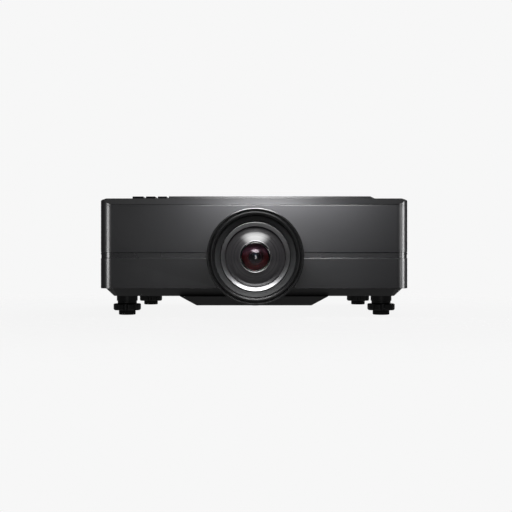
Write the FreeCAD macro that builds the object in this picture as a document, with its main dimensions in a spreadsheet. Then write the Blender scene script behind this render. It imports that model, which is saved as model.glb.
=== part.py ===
import FreeCAD, Part
import os
import re
import Sketcher
from FreeCAD import Vector

# Installation projector with a large shifting lens, four screw feet and a 3 by 3 keypad.
# Row frame in millimetres: +X right, +Y to the rear, +Z up; the origin is on the floor
# below the middle of the machine. Every size below is a cell of the sheet "Sizes".

SIZES = {
    # Casing: outer faces, and the heights where its shells meet.
    "half_width": 241.2,
    "front_face": -209.5,
    "rear_face": 254.5,
    "tray_bottom": 31.5,
    "wall_bottom": 43.9,
    "wall_top": 173.8,
    "cover_top": 184.7,
    "wall": 3,
    "front_corner": 20,
    "rear_corner": 12,
    "panel_depth": 22.5,
    "front_bevel": 9.5,
    "edge_bevel": 10,
    "edge_drop": 3.5,
    "fit_gap": 0.3,
    # Accent strip let into the front panel.
    "strip_bottom": 91.3,
    "strip_top": 100.2,
    "strip_depth": 1.2,
    "strip_sunk": 0.5,
    # Side louvres.
    "louvre_count": 15,
    "louvre_pitch": 8.55,
    "louvre_first": 45.6,
    "louvre_thick": 2.2,
    "louvre_rise": 3.2,
    "louvre_proud": 0.8,
    "vent_border": 9,
    "rib_spacing": 82,
    "rib_width": 2,
    # Base tray and the pan below the lens.
    "tray_inset": 8.5,
    "tray_wall": 2.5,
    "tray_slope": 11.4,
    "tray_corner": 12,
    "pan_bottom": 17,
    "pan_half_bottom": 90,
    "pan_half_top": 117,
    "pan_front": -197,
    "pan_rear": 60,
    "pan_wall": 2.5,
    "bolt_x": 160,
    "bolt_front": -110,
    "bolt_rear": 140,
    "bolt_hole": 2.5,
    "bolt_boss": 7,
    "bolt_depth": 14,
    # Feet.
    "foot_x": 205.3,
    "foot_front": -149.5,
    "foot_rear": 198.5,
    "neck_top_radius": 16.75,
    "neck_low_radius": 15.4,
    "neck_low": 18.5,
    "stud_radius": 5,
    "stud_bore": 5.08,
    "stud_top": 50,
    "wheel_radius": 22,
    "wheel_low_radius": 20.6,
    "wheel_low": 7.4,
    "wheel_top": 17.9,
    "wheel_notch": 4,
    "wheel_lobes": 8,
    "pad_radius": 13.5,
    "pad_top": 7.1,
    "pad_flat": 4,
    "pivot_radius": 4,
    "pivot_bore": 4.08,
    "pivot_low": 3.3,
    "socket_low": 3,
    # Keypad: three columns of unequal width, three rows.
    "key_front": -169.5,
    "key_depth": 13.5,
    "key_row_pitch": 17.4,
    "key_top": 189.9,
    "key_flange": 1.2,
    "key_flange_top": 181.2,
    "key_flange_low": 179.4,
    "key_low": 177,
    "stem_half": 2,
    "board_left": -202,
    "board_right": -132,
    "board_front": -176,
    "board_rear": -110,
    "board_low": 173,
    "board_thick": 1.6,
    "dome_radius": 2.5,
    "dome_top": 176,
    "post_radius": 2.2,
    "post_y": -114,
    "light_x": -205,
    "light_radius": 1.5,
    "light_top": 184.8,
    # Raised hatch on the cover.
    "hatch_left": -136.5,
    "hatch_right": 194.5,
    "hatch_front": -169.5,
    "hatch_rear": 60,
    "hatch_top": 190,
    "hatch_slope": 9,
    "hatch_lip": 1,
    # Lens axis and the turned lens pieces.
    "lens_x": 2,
    "lens_z": 93.4,
    "aperture": 69.7,
    "surround": 75.5,
    "surround_proud": 3,
    "hood_radius": 74,
    "hood_front": -254.5,
    "hood_back": -216,
    "barrel_radius": 62,
    "barrel_front": -233,
    "barrel_back": -120,
    "cell_bore": 53.5,
    "cell_radius": 53.2,
    "cell_front": -240,
    "cell_back": -212,
    "zoom_bore": 50,
    "glass_radius": 46.6,
    "glass_seat": 46.9,
    "glass_lip": 46,
    "glass_shelf": 44,
    "glass_back": -224,
    "glass_apex": -248.3,
    "glass_curve": 66,
    "hollow_curve": 28,
    "hollow_apex": -240.3,
    "inner_radius": 49.7,
    "inner_front": -202,
    "inner_back": -190,
    "inner_curve": 120,
    # Drive rings, pinions and motors.
    "ring_room": 73.5,
    "ring_room_front": -193,
    "ring_room_back": -40,
    "ring_bore": 62.3,
    "ring_root": 64.8,
    "ring_tip": 66.7,
    "ring_teeth": 60,
    "ring_width": 14,
    "focus_ring_front": -190,
    "zoom_ring_front": -166,
    "pinion_tip": 11.7,
    "pinion_root": 9.2,
    "pinion_teeth": 10,
    "pinion_distance": 77,
    "pinion_angle": 42,
    "shaft_radius": 2,
    "shaft_bore": 2.08,
    "shaft_back": -130,
    "motor_radius": 9,
    "motor_front": -144,
    # Shift frames and the fixed lens plate.
    "frame_thick": 8,
    "frame_gap": 0.5,
    "frame_half": 72,
    "frame_low": 40,
    "frame_high": 160,
    "rail_width": 8,
    "rail_height": 3,
    "rail_inset": 12,
    "port_x": 40,
    "port_z": 44,
    "port_plate": 48,
    "plate_half": 95,
    "plate_high": 166,
    # Rear connection plate and its sockets.
    "io_left": -190,
    "io_right": 100,
    "io_low": 60,
    "io_high": 112,
    "io_overlap": 5,
    "io_thick": 2,
    "socket_back": 228,
    "hdmi_width": 15.2,
    "hdmi_height": 6.4,
    "lan_width": 16,
    "lan_height": 14,
    "usb_width": 14.6,
    "usb_height": 7.4,
    "dsub_width": 30.8,
    "dsub_height": 12.5,
    "jack_radius": 4,
    "jack_bore": 1.8,
    "inlet_x": 165,
    "inlet_z": 86,
    "inlet_half_width": 33,
    "inlet_half_height": 14,
    "inlet_cavity_depth": 16,
    "rocker_half_width": 6,
    "rocker_half_height": 9.7,
    "rocker_y": 247.5,
    "rocker_pin": 1.5,
    "rocker_tilt": 7,
    "screw_head": 3.2,
    "screw_shank": 1.5,
    "screw_sunk": 1.6,
    # Rear details: air slots, the receiver's window, and play around screws and plugs.
    "slot_half": 190,
    "slot_low": 128,
    "slot_high": 130.5,
    "slot_count": 7,
    "slot_pitch": 5,
    "window_left": -221,
    "window_right": -207,
    "window_low": 148,
    "window_high": 158,
    "window_play": 0.3,
    "window_depth": 3,
    "shell_play": 0.2,
    "head_play": 0.15,
    "shank_play": 0.1,
    "head_depth": 0.1,
    "screw_reach": 8,
    "dsub_face": 0.6,
    "dsub_nose": 2.8,
    "dsub_nose_wide": 8.2,
    "dsub_nose_narrow": 6.9,
    "dsub_nose_half": 3.9,
    "jack_face": 1.2,
    "jack_start": 8,
    "jack_floor": 10,
    "inlet_shift": 14,
    "cavity_half": 13.3,
    "cavity_narrow": 8.6,
    "cavity_high": 9.3,
    "cavity_slant": 4.6,
    "pin_half_thick": 1,
    "pin_half_high": 2,
    "pin_length": 9,
    "pin_spread": 7,
    "pin_drop": 1,
    "pin_rise": 3,
    "rocker_shift": 20,
    "rocker_play": 0.6,
    "rocker_well": 12,
    "rocker_pin_play": 0.08,
    "rocker_pin_reach": 1.6,
    "rocker_bore_reach": 2,
    "rocker_ridge": 5.4,
    "rocker_waist": 3.6,
    "rocker_heel": 4,
    "rocker_tip": 0.3,
    "rocker_toe": 0.9,
    # Gear teeth: share of the pitch taken at the root and at the tip, on either side.
    "tooth_root": 0.46,
    "tooth_tip": 0.26,
    "ring_pitch": 66,
    "pinion_pitch": 11,
    "tooth_sunk": 0.6,
    # Inner units.
    "fan_size": 92,
    "fan_thick": 25,
    "fan_front": 60,
    "fan_low": 52,
    "fan_outer": 236,
    "fan_radius": 42,
    "fan_hub": 18,
    "fan_blades": 7,
    "wheel_disc": 34,
    "wheel_disc_z": 95,
    "wheel_disc_y": 26,
    "wheel_disc_thick": 2,
    "wheel_hub": 12,
    "wheel_hub_back": 4.5,
    "wheel_hub_front": 5,
    "wheel_motor": 11,
    "wheel_motor_start": 10,
    "fan_recess": 3,
    "blade_front": 2,
    "blade_root_low": 5,
    "blade_root_high": 2.5,
    "blade_tip_low": 9,
    "blade_tip_high": 6.5,
    "engine_left": -85,
    "engine_right": 75,
    "engine_rear": 10,
    "engine_low": 36,
    "engine_high": 142,
    "engine_port": 34,
    "engine_port_depth": 30,
    "engine_notch_right": -50,
    "engine_notch_front": -60,
    "engine_notch_low": 110,
    "laser_left": -205,
    "laser_right": -95,
    "laser_front": -55,
    "laser_rear": 45,
    "laser_low": 40,
    "laser_base_top": 58,
    "laser_fin_top": 150,
    "laser_fin": 1.6,
    "laser_fin_count": 22,
    "laser_fin_pitch": 5,
    "board_main_left": -185,
    "board_main_right": 100,
    "board_main_front": 80,
    "board_main_rear": 226,
    "board_main_low": 50,
    "board_main_top": 51.6,
    "chip_top": 56,
    "supply_left": 110,
    "supply_right": 200,
    "supply_front": -50,
    "supply_rear": 120,
    "supply_low": 48,
    "supply_top": 104,
    "supply_chamfer": 2,
}

doc = FreeCAD.newDocument("Projector")
sheet = doc.addObject("Spreadsheet::Sheet", "Sizes")
for row, (alias, size) in enumerate(SIZES.items(), start=1):
    sheet.set("A%d" % row, alias)
    sheet.set("B%d" % row, str(size))
    sheet.setAlias("B%d" % row, alias)
doc.recompute()

PIECES = []


# ---------------------------------------------------------------- helpers

def cells(formula):
    """Turn the aliases in a formula into references to the sheet."""
    def refer(word):
        return "Sizes." + word.group() if word.group() in SIZES else word.group()
    return re.sub(r"[a-z_]\w*", refer, str(formula))


def amount(formula):
    """The present value of a formula."""
    return float(sheet.evalExpression(cells(formula)))


def bind(item, name, formula):
    item.setExpression(name, cells(formula))


def new_body(label, x="0", y="0", z="0"):
    """A body that becomes one sub-part, placed by formulas."""
    body = doc.addObject("PartDesign::Body", label.title().replace("_", ""))
    body.Label = label
    body.AllowCompound = True
    for axis, formula in zip("xyz", (x, y, z)):
        bind(body, ".Placement.Base." + axis, formula)
    PIECES.append(body)
    return body


def new_sketch(body, plane, offset):
    """A sketch on one of the body's own planes, moved along the plane's normal."""
    sketch = body.newObject("Sketcher::SketchObject", body.Name + "Sketch")
    support = next(item for item in body.Origin.OriginFeatures if item.Role == plane)
    sketch.AttachmentSupport = [(support, "")]
    sketch.MapMode = "FlatFace"
    bind(sketch, ".AttachmentOffset.Base.z", offset)
    return sketch


def place_point(sketch, geometry, end, u, v):
    """Hold a point of the sketch at two formulas."""
    for kind, formula in (("DistanceX", u), ("DistanceY", v)):
        hold = Sketcher.Constraint(kind, -1, 1, geometry, end, amount(formula))
        bind(sketch, "Constraints[%d]" % sketch.addConstraint(hold), formula)


def polygon(*corners):
    """A closed outline of straight lines through corners given as formulas."""
    def draw(sketch):
        places = [Vector(amount(u), amount(v), 0) for u, v in corners]
        lines = []
        for start, end in zip(places, places[1:] + places[:1]):
            lines.append(sketch.addGeometry(Part.LineSegment(start, end), False))
        for line, follower in zip(lines, lines[1:] + lines[:1]):
            sketch.addConstraint(Sketcher.Constraint("Coincident", line, 2, follower, 1))
        for line, (u, v) in zip(lines, corners):
            place_point(sketch, line, 1, u, v)
    return draw


def rectangle(left, right, low, high):
    return polygon((left, low), (right, low), (right, high), (left, high))


def cut_rectangle(left, right, low, high, corner):
    """Rectangle with its four corners cut off."""
    return polygon(("%s + %s" % (left, corner), low), ("%s - %s" % (right, corner), low),
                   (right, "%s + %s" % (low, corner)), (right, "%s - %s" % (high, corner)),
                   ("%s - %s" % (right, corner), high), ("%s + %s" % (left, corner), high),
                   (left, "%s - %s" % (high, corner)), (left, "%s + %s" % (low, corner)))


def circle(u, v, radius):
    def draw(sketch):
        centre = Vector(amount(u), amount(v), 0)
        ring = Part.Circle(centre, Vector(0, 0, 1), amount(radius))
        number = sketch.addGeometry(ring, False)
        place_point(sketch, number, 3, u, v)
        size = sketch.addConstraint(Sketcher.Constraint("Radius", number, amount(radius)))
        bind(sketch, "Constraints[%d]" % size, radius)
    return draw


def prism(body, plane, outlines, start, end, cut=False):
    """Pad (or pocket) the outlines between two places along the axis across the plane."""
    faces_back = plane == "XZ_Plane"
    place = end if cut != faces_back else start
    sketch = new_sketch(body, plane, "-(%s)" % place if faces_back else place)
    for draw in outlines:
        draw(sketch)
    kind = "Pocket" if cut else "Pad"
    feature = body.newObject("PartDesign::" + kind, body.Name + kind)
    feature.Profile = sketch
    bind(feature, "Length", "(%s) - (%s)" % (end, start))
    return feature


def turned(body, axis, outline, cut=False):
    """Revolve an outline about the body's Y axis (place, radius) or Z axis (radius, place)."""
    sketch = new_sketch(body, "YZ_Plane" if axis == "Y" else "XZ_Plane", "0")
    outline(sketch)
    kind = "Groove" if cut else "Revolution"
    feature = body.newObject("PartDesign::" + kind, body.Name + kind)
    feature.Profile = sketch
    feature.ReferenceAxis = (sketch, ["H_Axis" if axis == "Y" else "V_Axis"])
    feature.Angle = 360
    return feature


def along(body, feature, axis, count, spacing):
    """Repeat a feature in a row along one of the body's axes."""
    doc.recompute()
    pattern = body.newObject("PartDesign::LinearPattern", body.Name + "Row")
    pattern.Originals = [feature]
    line = next(item for item in body.Origin.OriginFeatures if item.Role == axis + "_Axis")
    pattern.Direction = (line, [""])
    pattern.Mode = "Spacing"
    bind(pattern, "Offset", spacing)
    bind(pattern, "Occurrences", count)
    body.Tip = pattern
    doc.recompute()
    return pattern


def around(body, feature, axis, count):
    """Repeat a feature in a full circle about one of the body's axes."""
    doc.recompute()
    pattern = body.newObject("PartDesign::PolarPattern", body.Name + "Circle")
    pattern.Originals = [feature]
    line = next(item for item in body.Origin.OriginFeatures if item.Role == axis + "_Axis")
    pattern.Axis = (line, [""])
    pattern.Angle = 360
    bind(pattern, "Occurrences", count)
    body.Tip = pattern
    doc.recompute()
    return pattern


def dress(body, kind, size, wanted):
    """Fillet or chamfer the edges whose middle point passes a test."""
    doc.recompute()
    base = body.Tip
    names = []
    for number, edge in enumerate(base.Shape.Edges, start=1):
        first, last = edge.ParameterRange
        if wanted(edge.valueAt((first + last) / 2), edge):
            names.append("Edge%d" % number)
    feature = body.newObject("PartDesign::" + kind, body.Name + kind)
    feature.Base = (base, names)
    bind(feature, "Radius" if kind == "Fillet" else "Size", size)
    doc.recompute()
    return feature


def is_upright(edge):
    """True for a straight vertical edge."""
    if edge.Curve.TypeId != "Part::GeomLine":
        return False
    return abs(edge.tangentAt(edge.FirstParameter).z) > 0.99


def near(place, formula):
    return abs(place - amount(formula)) < 0.05


# ---------------------------------------------------------------- casing

def wrap(body, toward_front, layers, thick, inner_edge):
    """Wall with both ends turned round the corners of the casing, in layers of one inset each."""
    face = "front_face" if toward_front else "rear_face"
    corner = "front_corner" if toward_front else "rear_corner"
    inward = "+" if toward_front else "-"
    for low, high, inset in layers:
        skin = "%s %s %s" % (face, inward, inset)
        span = (skin, "0") if toward_front else ("0", skin)
        side = "half_width - %s" % inset
        prism(body, "XY_Plane", [rectangle("-(%s)" % side, side, *span)], low, high)
    deepest = layers[len(layers) // 2][2]
    inner = "%s %s (%s + %s)" % (face, inward, deepest, thick)
    span = (inner, "1") if toward_front else ("-1", inner)
    side = "half_width - (%s + %s)" % (deepest, thick)
    low, high = layers[0][0], layers[-1][1]
    prism(body, "XY_Plane", [rectangle("-(%s)" % side, side, *span)], low, high, cut=True)
    dress(body, "Fillet", "%s - (%s + %s)" % (corner, deepest, thick),
          lambda middle, edge: is_upright(edge) and near(middle.y, inner))
    for inset in dict.fromkeys(layer[2] for layer in layers):
        skin = "%s %s %s" % (face, inward, inset)
        dress(body, "Fillet", "%s - %s" % (corner, inset),
              lambda middle, edge: is_upright(edge) and near(middle.y, skin))
    trim = (inner_edge, "1") if toward_front else ("-1", inner_edge)
    prism(body, "XY_Plane", [rectangle("-half_width - 1", "half_width + 1", *trim)],
          low, high, cut=True)


def make_front_panel():
    """Front shell with the lens aperture, its raised surround and the strip channel."""
    body = new_body("front_panel")
    wrap(body, True, [("wall_bottom", "strip_bottom", "0"),
                      ("strip_bottom", "strip_top", "strip_depth"),
                      ("strip_top", "wall_top", "0")],
         "wall - strip_depth", "front_face + panel_depth")
    ring = ("front_face - surround_proud", "front_face + wall")
    prism(body, "XZ_Plane", [circle("lens_x", "lens_z", "surround")], *ring)
    through = ("front_face - surround_proud", "front_face + panel_depth")
    prism(body, "XZ_Plane", [circle("lens_x", "lens_z", "aperture")], *through, cut=True)
    prism(body, "XZ_Plane", [rectangle("-half_width", "half_width", "0", "wall_bottom")],
          *through, cut=True)


def make_accent_strips():
    """Thin strip laid in the channel and round the corners, broken by the lens surround."""
    body = new_body("accent_strips")
    wrap(body, True, [("strip_bottom", "strip_top", "strip_sunk")],
         "strip_depth - strip_sunk", "front_face + panel_depth")
    prism(body, "XZ_Plane", [circle("lens_x", "lens_z", "surround + shell_play")],
          "front_face", "front_face + strip_depth + 1", cut=True)


def make_rear_panel():
    """Rear shell with the windows for the connection plate and the mains inlet."""
    body = new_body("rear_panel")
    wrap(body, False, [("wall_bottom", "wall_top", "0")], "wall", "rear_face - panel_depth")
    windows = [
        rectangle("io_left", "io_right", "io_low", "io_high"),
        rectangle("inlet_x - inlet_half_width", "inlet_x + inlet_half_width",
                  "inlet_z - inlet_half_height", "inlet_z + inlet_half_height"),
        rectangle("window_left", "window_right", "window_low", "window_high"),
    ]
    prism(body, "XZ_Plane", windows, "rear_face - 4", "rear_face + 1", cut=True)
    slot = prism(body, "XZ_Plane", [rectangle("-slot_half", "slot_half", "slot_low", "slot_high")],
                 "rear_face - 4", "rear_face + 1", cut=True)
    along(body, slot, "Z", "slot_count", "slot_pitch")
    heads = [circle(x, z, "screw_head + head_play") for x, z in REAR_SCREWS]
    prism(body, "XZ_Plane", heads, "rear_face - screw_sunk", "rear_face + 1", cut=True)
    shanks = [circle(x, z, "screw_shank + shank_play") for x, z in REAR_SCREWS]
    prism(body, "XZ_Plane", shanks, "rear_face - 4", "rear_face", cut=True)


def make_side_vent(label, side):
    """Louvred side panel: a frame, slanting blades and upright ribs behind them."""
    body = new_body(label)
    inner = "half_width - wall"
    front = "front_face + panel_depth"
    rear = "rear_face - panel_depth"

    def spread(near_wall, outer):
        """Distances from the middle plane as a start and end along X."""
        if side > 0:
            return near_wall, outer
        return "-(%s)" % outer, "-(%s)" % near_wall

    frame = [rectangle(front, rear, "wall_bottom", "wall_top"),
             rectangle(front + " + vent_border", rear + " - vent_border",
                       "louvre_first", "wall_top - 1.4")]
    prism(body, "YZ_Plane", frame, *spread(inner, "half_width"))
    outer = "half_width + louvre_proud"
    corners = [(inner, "louvre_first + louvre_rise"),
               (outer, "louvre_first"),
               (outer, "louvre_first + louvre_thick"),
               (inner, "louvre_first + louvre_rise + louvre_thick")]
    if side < 0:
        corners = [("-(%s)" % across, up) for across, up in corners]
    blade = prism(body, "XZ_Plane", [polygon(*corners)], front, rear)
    along(body, blade, "Z", "louvre_count", "louvre_pitch")
    rib = prism(body, "YZ_Plane",
                [rectangle(front + " + rib_spacing", front + " + rib_spacing + rib_width",
                           "louvre_first - 1", "wall_top - 1")],
                *spread(inner, "half_width - 0.6"))
    along(body, rib, "Y", "4", "rib_spacing")
    return body


def slope(face, outward, width, drop):
    """Triangle that bevels the top edge of the cover at a face; outward is 1 or -1."""
    return polygon(("%s - %s * %s" % (face, outward, width), "cover_top"),
                   ("%s + %s" % (face, outward), "cover_top - %s * (1 + 1 / %s)" % (drop, width)),
                   ("%s + %s" % (face, outward), "cover_top"))


def make_top_cover():
    """Lid with a broad front bevel, the key holes and two posts for the key board."""
    body = new_body("top_cover")
    prism(body, "XY_Plane",
          [rectangle("-half_width", "half_width", "front_face", "rear_face")],
          "wall_top", "cover_top")
    dress(body, "Fillet", "front_corner",
          lambda middle, edge: is_upright(edge) and near(middle.y, "front_face"))
    dress(body, "Fillet", "rear_corner",
          lambda middle, edge: is_upright(edge) and near(middle.y, "rear_face"))
    prism(body, "YZ_Plane",
          [slope("front_face", "-1", "front_bevel", "front_bevel"),
           slope("rear_face", "1", "edge_bevel", "edge_drop")],
          "-half_width - 1", "half_width + 1", cut=True)
    prism(body, "XZ_Plane",
          [slope("-half_width", "-1", "edge_bevel", "edge_drop"),
           slope("half_width", "1", "edge_bevel", "edge_drop")],
          "front_face - 1", "rear_face + 1", cut=True)
    hollows = [rectangle("-half_width + wall", "half_width - wall",
                         "front_face + panel_depth", "rear_face - rear_corner")]
    prism(body, "XY_Plane", hollows, "wall_top", "cover_top - wall", cut=True)
    prism(body, "XY_Plane",
          [rectangle("-half_width + front_corner + 6", "half_width - front_corner - 6",
                     "front_face + 13", "front_face + panel_depth + 1")],
          "wall_top", "cover_top - wall", cut=True)
    holes = []
    for column, row, _ in KEYS:
        left, right = KEY_COLUMNS[column]
        low = key_row(row)
        holes.append(rectangle("%s - fit_gap" % left, "%s + fit_gap" % right,
                               low + " - fit_gap", low + " + key_depth + fit_gap"))
    holes += [circle("light_x", y, "light_radius + 0.02") for y in LIGHT_ROWS]
    prism(body, "XY_Plane", holes, "cover_top - wall - 1", "cover_top + 1", cut=True)
    posts = [circle(x, "post_y", "post_radius") for x in ("board_left + 4", "board_right - 4")]
    prism(body, "XY_Plane", posts, "board_low + board_thick", "cover_top - wall")
    return body


def make_service_hatch():
    """Raised black hatch over the optics; its right end slopes down to the cover."""
    body = new_body("service_hatch")
    section = polygon(("hatch_left", "cover_top"),
                      ("hatch_right", "cover_top"),
                      ("hatch_right", "cover_top + hatch_lip"),
                      ("hatch_right - hatch_slope", "hatch_top"),
                      ("hatch_left + hatch_lip", "hatch_top"),
                      ("hatch_left", "hatch_top - hatch_lip"))
    prism(body, "XZ_Plane", [section], "hatch_front", "hatch_rear")
    heads = [circle(x, y, "screw_head + head_play") for x, y in HATCH_SCREWS]
    prism(body, "XY_Plane", heads, "hatch_top - screw_sunk", "hatch_top + 1", cut=True)
    shanks = [circle(x, y, "screw_shank + shank_play") for x, y in HATCH_SCREWS]
    prism(body, "XY_Plane", shanks, "cover_top - 1", "hatch_top", cut=True)
    return body


def make_base_tray():
    """Bottom tray with sloping sides, a rim inside the walls, bolt bosses and foot holes."""
    body = new_body("base_tray")
    rim = "half_width - wall - shell_play"
    rim_front = "front_face + wall + shell_play"
    rim_rear = "rear_face - wall - shell_play"
    prism(body, "XY_Plane", [rectangle("-(%s)" % rim, rim, rim_front, rim_rear)],
          "wall_bottom", "wall_bottom + tray_wall")
    dress(body, "Fillet", "front_corner - wall - shell_play",
          lambda middle, edge: is_upright(edge) and near(middle.y, rim_front))
    dress(body, "Fillet", "rear_corner - wall - shell_play",
          lambda middle, edge: is_upright(edge) and near(middle.y, rim_rear))
    side = "half_width - tray_inset"
    front = "front_face + tray_inset"
    rear = "rear_face - tray_inset"
    prism(body, "XY_Plane", [cut_rectangle("-(%s)" % side, side, front, rear, "tray_corner")],
          "tray_bottom", "wall_bottom")
    dress(body, "Chamfer", "tray_slope",
          lambda middle, edge: near(middle.z, "tray_bottom") and not is_upright(edge))
    inset = "tray_slope + 1"
    prism(body, "XY_Plane",
          [rectangle("-(%s) + %s" % (side, inset), "%s - (%s)" % (side, inset),
                     "%s + %s" % (front, inset), "%s - (%s)" % (rear, inset))],
          "tray_bottom + tray_wall", "wall_bottom + tray_wall", cut=True)
    bosses = [circle(x, y, "bolt_boss") for x, y in BOLTS]
    prism(body, "XY_Plane", bosses, "tray_bottom", "tray_bottom + bolt_depth + 2")
    holes = [circle(x, y, "bolt_hole") for x, y in BOLTS]
    prism(body, "XY_Plane", holes, "tray_bottom", "tray_bottom + bolt_depth", cut=True)
    studs = [circle(x, y, "stud_bore") for _, x, y in FEET]
    prism(body, "XY_Plane", studs, "tray_bottom", "tray_bottom + tray_wall", cut=True)
    prism(body, "XZ_Plane", [circle("lens_x", "lens_z", "aperture")],
          "front_face", "ring_room_front", cut=True)
    prism(body, "XZ_Plane", [circle("lens_x", "lens_z", "ring_room")],
          "ring_room_front", "ring_room_back", cut=True)


def make_belly_pan():
    """Pan below the tray that makes room for the underside of the lens."""
    body = new_body("belly_pan")
    shell = polygon(("-pan_half_top", "tray_bottom"), ("-pan_half_bottom", "pan_bottom"),
                    ("pan_half_bottom", "pan_bottom"), ("pan_half_top", "tray_bottom"))
    prism(body, "XZ_Plane", [shell], "pan_front", "pan_rear")
    hollow = polygon(("-pan_half_top + 2 * pan_wall", "tray_bottom"),
                     ("-pan_half_bottom", "pan_bottom + pan_wall"),
                     ("pan_half_bottom", "pan_bottom + pan_wall"),
                     ("pan_half_top - 2 * pan_wall", "tray_bottom"))
    prism(body, "XZ_Plane", [hollow], "pan_front + pan_wall", "pan_rear - pan_wall", cut=True)
    prism(body, "XZ_Plane", [circle("lens_x", "lens_z", "aperture")],
          "pan_front - 1", "pan_front + pan_wall + 1", cut=True)
    return body


def make_cover_screws():
    """Screws of the rear panel and the hatch, heads flush in their counterbores."""
    body = new_body("cover_screws")
    prism(body, "XZ_Plane", [circle(x, z, "screw_head") for x, z in REAR_SCREWS],
          "rear_face - screw_sunk", "rear_face - head_depth")
    prism(body, "XZ_Plane", [circle(x, z, "screw_shank") for x, z in REAR_SCREWS],
          "rear_face - screw_reach", "rear_face - screw_sunk")
    prism(body, "XY_Plane", [circle(x, y, "screw_head") for x, y in HATCH_SCREWS],
          "hatch_top - screw_sunk", "hatch_top - head_depth")
    prism(body, "XY_Plane", [circle(x, y, "screw_shank") for x, y in HATCH_SCREWS],
          "cover_top", "hatch_top - screw_sunk")
    return body


# ---------------------------------------------------------------- keypad

def key_row(row):
    """Front edge of a row of keys."""
    return "key_front + %d * key_row_pitch" % row


def make_key(label, column, row):
    """Key cap with a retaining flange below the cover and a stem above its switch."""
    left, right = KEY_COLUMNS[column]
    front = key_row(row)
    rear = front + " + key_depth"
    body = new_body(label)
    prism(body, "XY_Plane", [rectangle(left, right, front, rear)], "key_flange_low", "key_top")
    dress(body, "Chamfer", "0.6", lambda middle, edge: near(middle.z, "key_top"))
    prism(body, "XY_Plane",
          [rectangle(left + " - key_flange", right + " + key_flange",
                     front + " - key_flange", rear + " + key_flange")],
          "key_flange_low", "key_flange_top")
    across = "(%s + %s) / 2" % (left, right)
    deep = front + " + key_depth / 2"
    prism(body, "XY_Plane",
          [rectangle(across + " - stem_half", across + " + stem_half",
                     deep + " - stem_half", deep + " + stem_half")],
          "key_low", "key_flange_low")


def make_key_board():
    """Circuit board with one switch dome under each key."""
    body = new_body("key_board")
    prism(body, "XY_Plane",
          [rectangle("board_left", "board_right", "board_front", "board_rear")],
          "board_low", "board_low + board_thick")
    domes = []
    for column, row, _ in KEYS:
        across = "(%s + %s) / 2" % KEY_COLUMNS[column]
        domes.append(circle(across, key_row(row) + " + key_depth / 2", "dome_radius"))
    prism(body, "XY_Plane", domes, "board_low + board_thick", "dome_top")


def make_status_lights():
    """Three light guides flush in the cover beside the keys."""
    body = new_body("status_lights")
    prism(body, "XY_Plane", [circle("light_x", y, "light_radius") for y in LIGHT_ROWS],
          "cover_top - wall - 2", "light_top")


# ---------------------------------------------------------------- feet

def make_foot_necks():
    """Four tapered bosses under the tray that guide the foot studs."""
    body = new_body("foot_necks")
    for _, x, y in FEET:
        prism(body, "XY_Plane", [circle(x, y, "neck_top_radius")], "tray_bottom - 9", "tray_bottom")
        prism(body, "XY_Plane", [circle(x, y, "neck_low_radius")], "neck_low", "tray_bottom - 9")
        prism(body, "XY_Plane", [circle(x, y, "stud_bore")], "neck_low", "tray_bottom", cut=True)


def make_foot(place, x, y):
    """Hand wheel moulded on its stud, and the rubber pad that it turns in."""
    wheel = new_body("foot_wheel_" + place, x, y)
    turned(wheel, "Z", polygon(("0", "pivot_low"), ("pivot_radius", "pivot_low"),
                               ("pivot_radius", "wheel_low"), ("wheel_low_radius", "wheel_low"),
                               ("wheel_radius", "wheel_low + 2"), ("wheel_radius", "wheel_top - 1"),
                               ("wheel_radius - 1", "wheel_top"), ("stud_radius", "wheel_top"),
                               ("stud_radius", "stud_top"), ("0", "stud_top")))
    notch = prism(wheel, "XY_Plane", [circle("wheel_radius + 1", "0", "wheel_notch")],
                  "wheel_low", "wheel_top", cut=True)
    around(wheel, notch, "Z", "wheel_lobes")
    pad = new_body("foot_pad_" + place, x, y)
    turned(pad, "Z", polygon(("0", "0"), ("pad_flat", "0"), ("pad_radius * 0.78", "1.9"),
                             ("pad_radius", "4.6"), ("pad_radius", "pad_top"),
                             ("pivot_bore", "pad_top"), ("pivot_bore", "socket_low"),
                             ("0", "socket_low")))


# ---------------------------------------------------------------- lens

def lens_body(label):
    return new_body(label, x="lens_x", z="lens_z")


def make_lens_hood():
    """Wide front hood: rolled rim, groove, round ring and shallow inner cone."""
    body = lens_body("lens_hood")
    turned(body, "Y", polygon(
        ("hood_back", "barrel_radius"),
        ("hood_back", "hood_radius - 3.5"),
        ("hood_back - 5", "hood_radius"),
        ("hood_front + 2.6", "hood_radius"),
        ("hood_front + 0.8", "hood_radius - 0.6"),
        ("hood_front", "hood_radius - 1.8"),
        ("hood_front + 0.6", "hood_radius - 3.1"),
        ("hood_front + 5", "hood_radius - 3.5"),
        ("hood_front + 5", "hood_radius - 4.3"),
        ("hood_front + 2", "hood_radius - 4.7"),
        ("hood_front + 0.7", "hood_radius - 6.2"),
        ("hood_front + 0.4", "hood_radius - 8"),
        ("hood_front + 1.4", "hood_radius - 10.2"),
        ("hood_front + 3.6", "hood_radius - 11.4"),
        ("hood_front + 7.5", "hood_radius - 11.7"),
        ("cell_front - 1", "cell_bore"),
        ("barrel_front", "cell_bore"),
        ("barrel_front", "barrel_radius")))


def make_lens_barrel():
    """Main tube: guides the front cell ahead of a step and the zoom element behind it."""
    body = lens_body("lens_barrel")
    turned(body, "Y", polygon(
        ("barrel_front", "cell_bore"), ("barrel_front", "barrel_radius"),
        ("barrel_back", "barrel_radius"), ("barrel_back", "zoom_bore"),
        ("cell_back + 2", "zoom_bore"), ("cell_back + 2", "cell_bore")))


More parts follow.
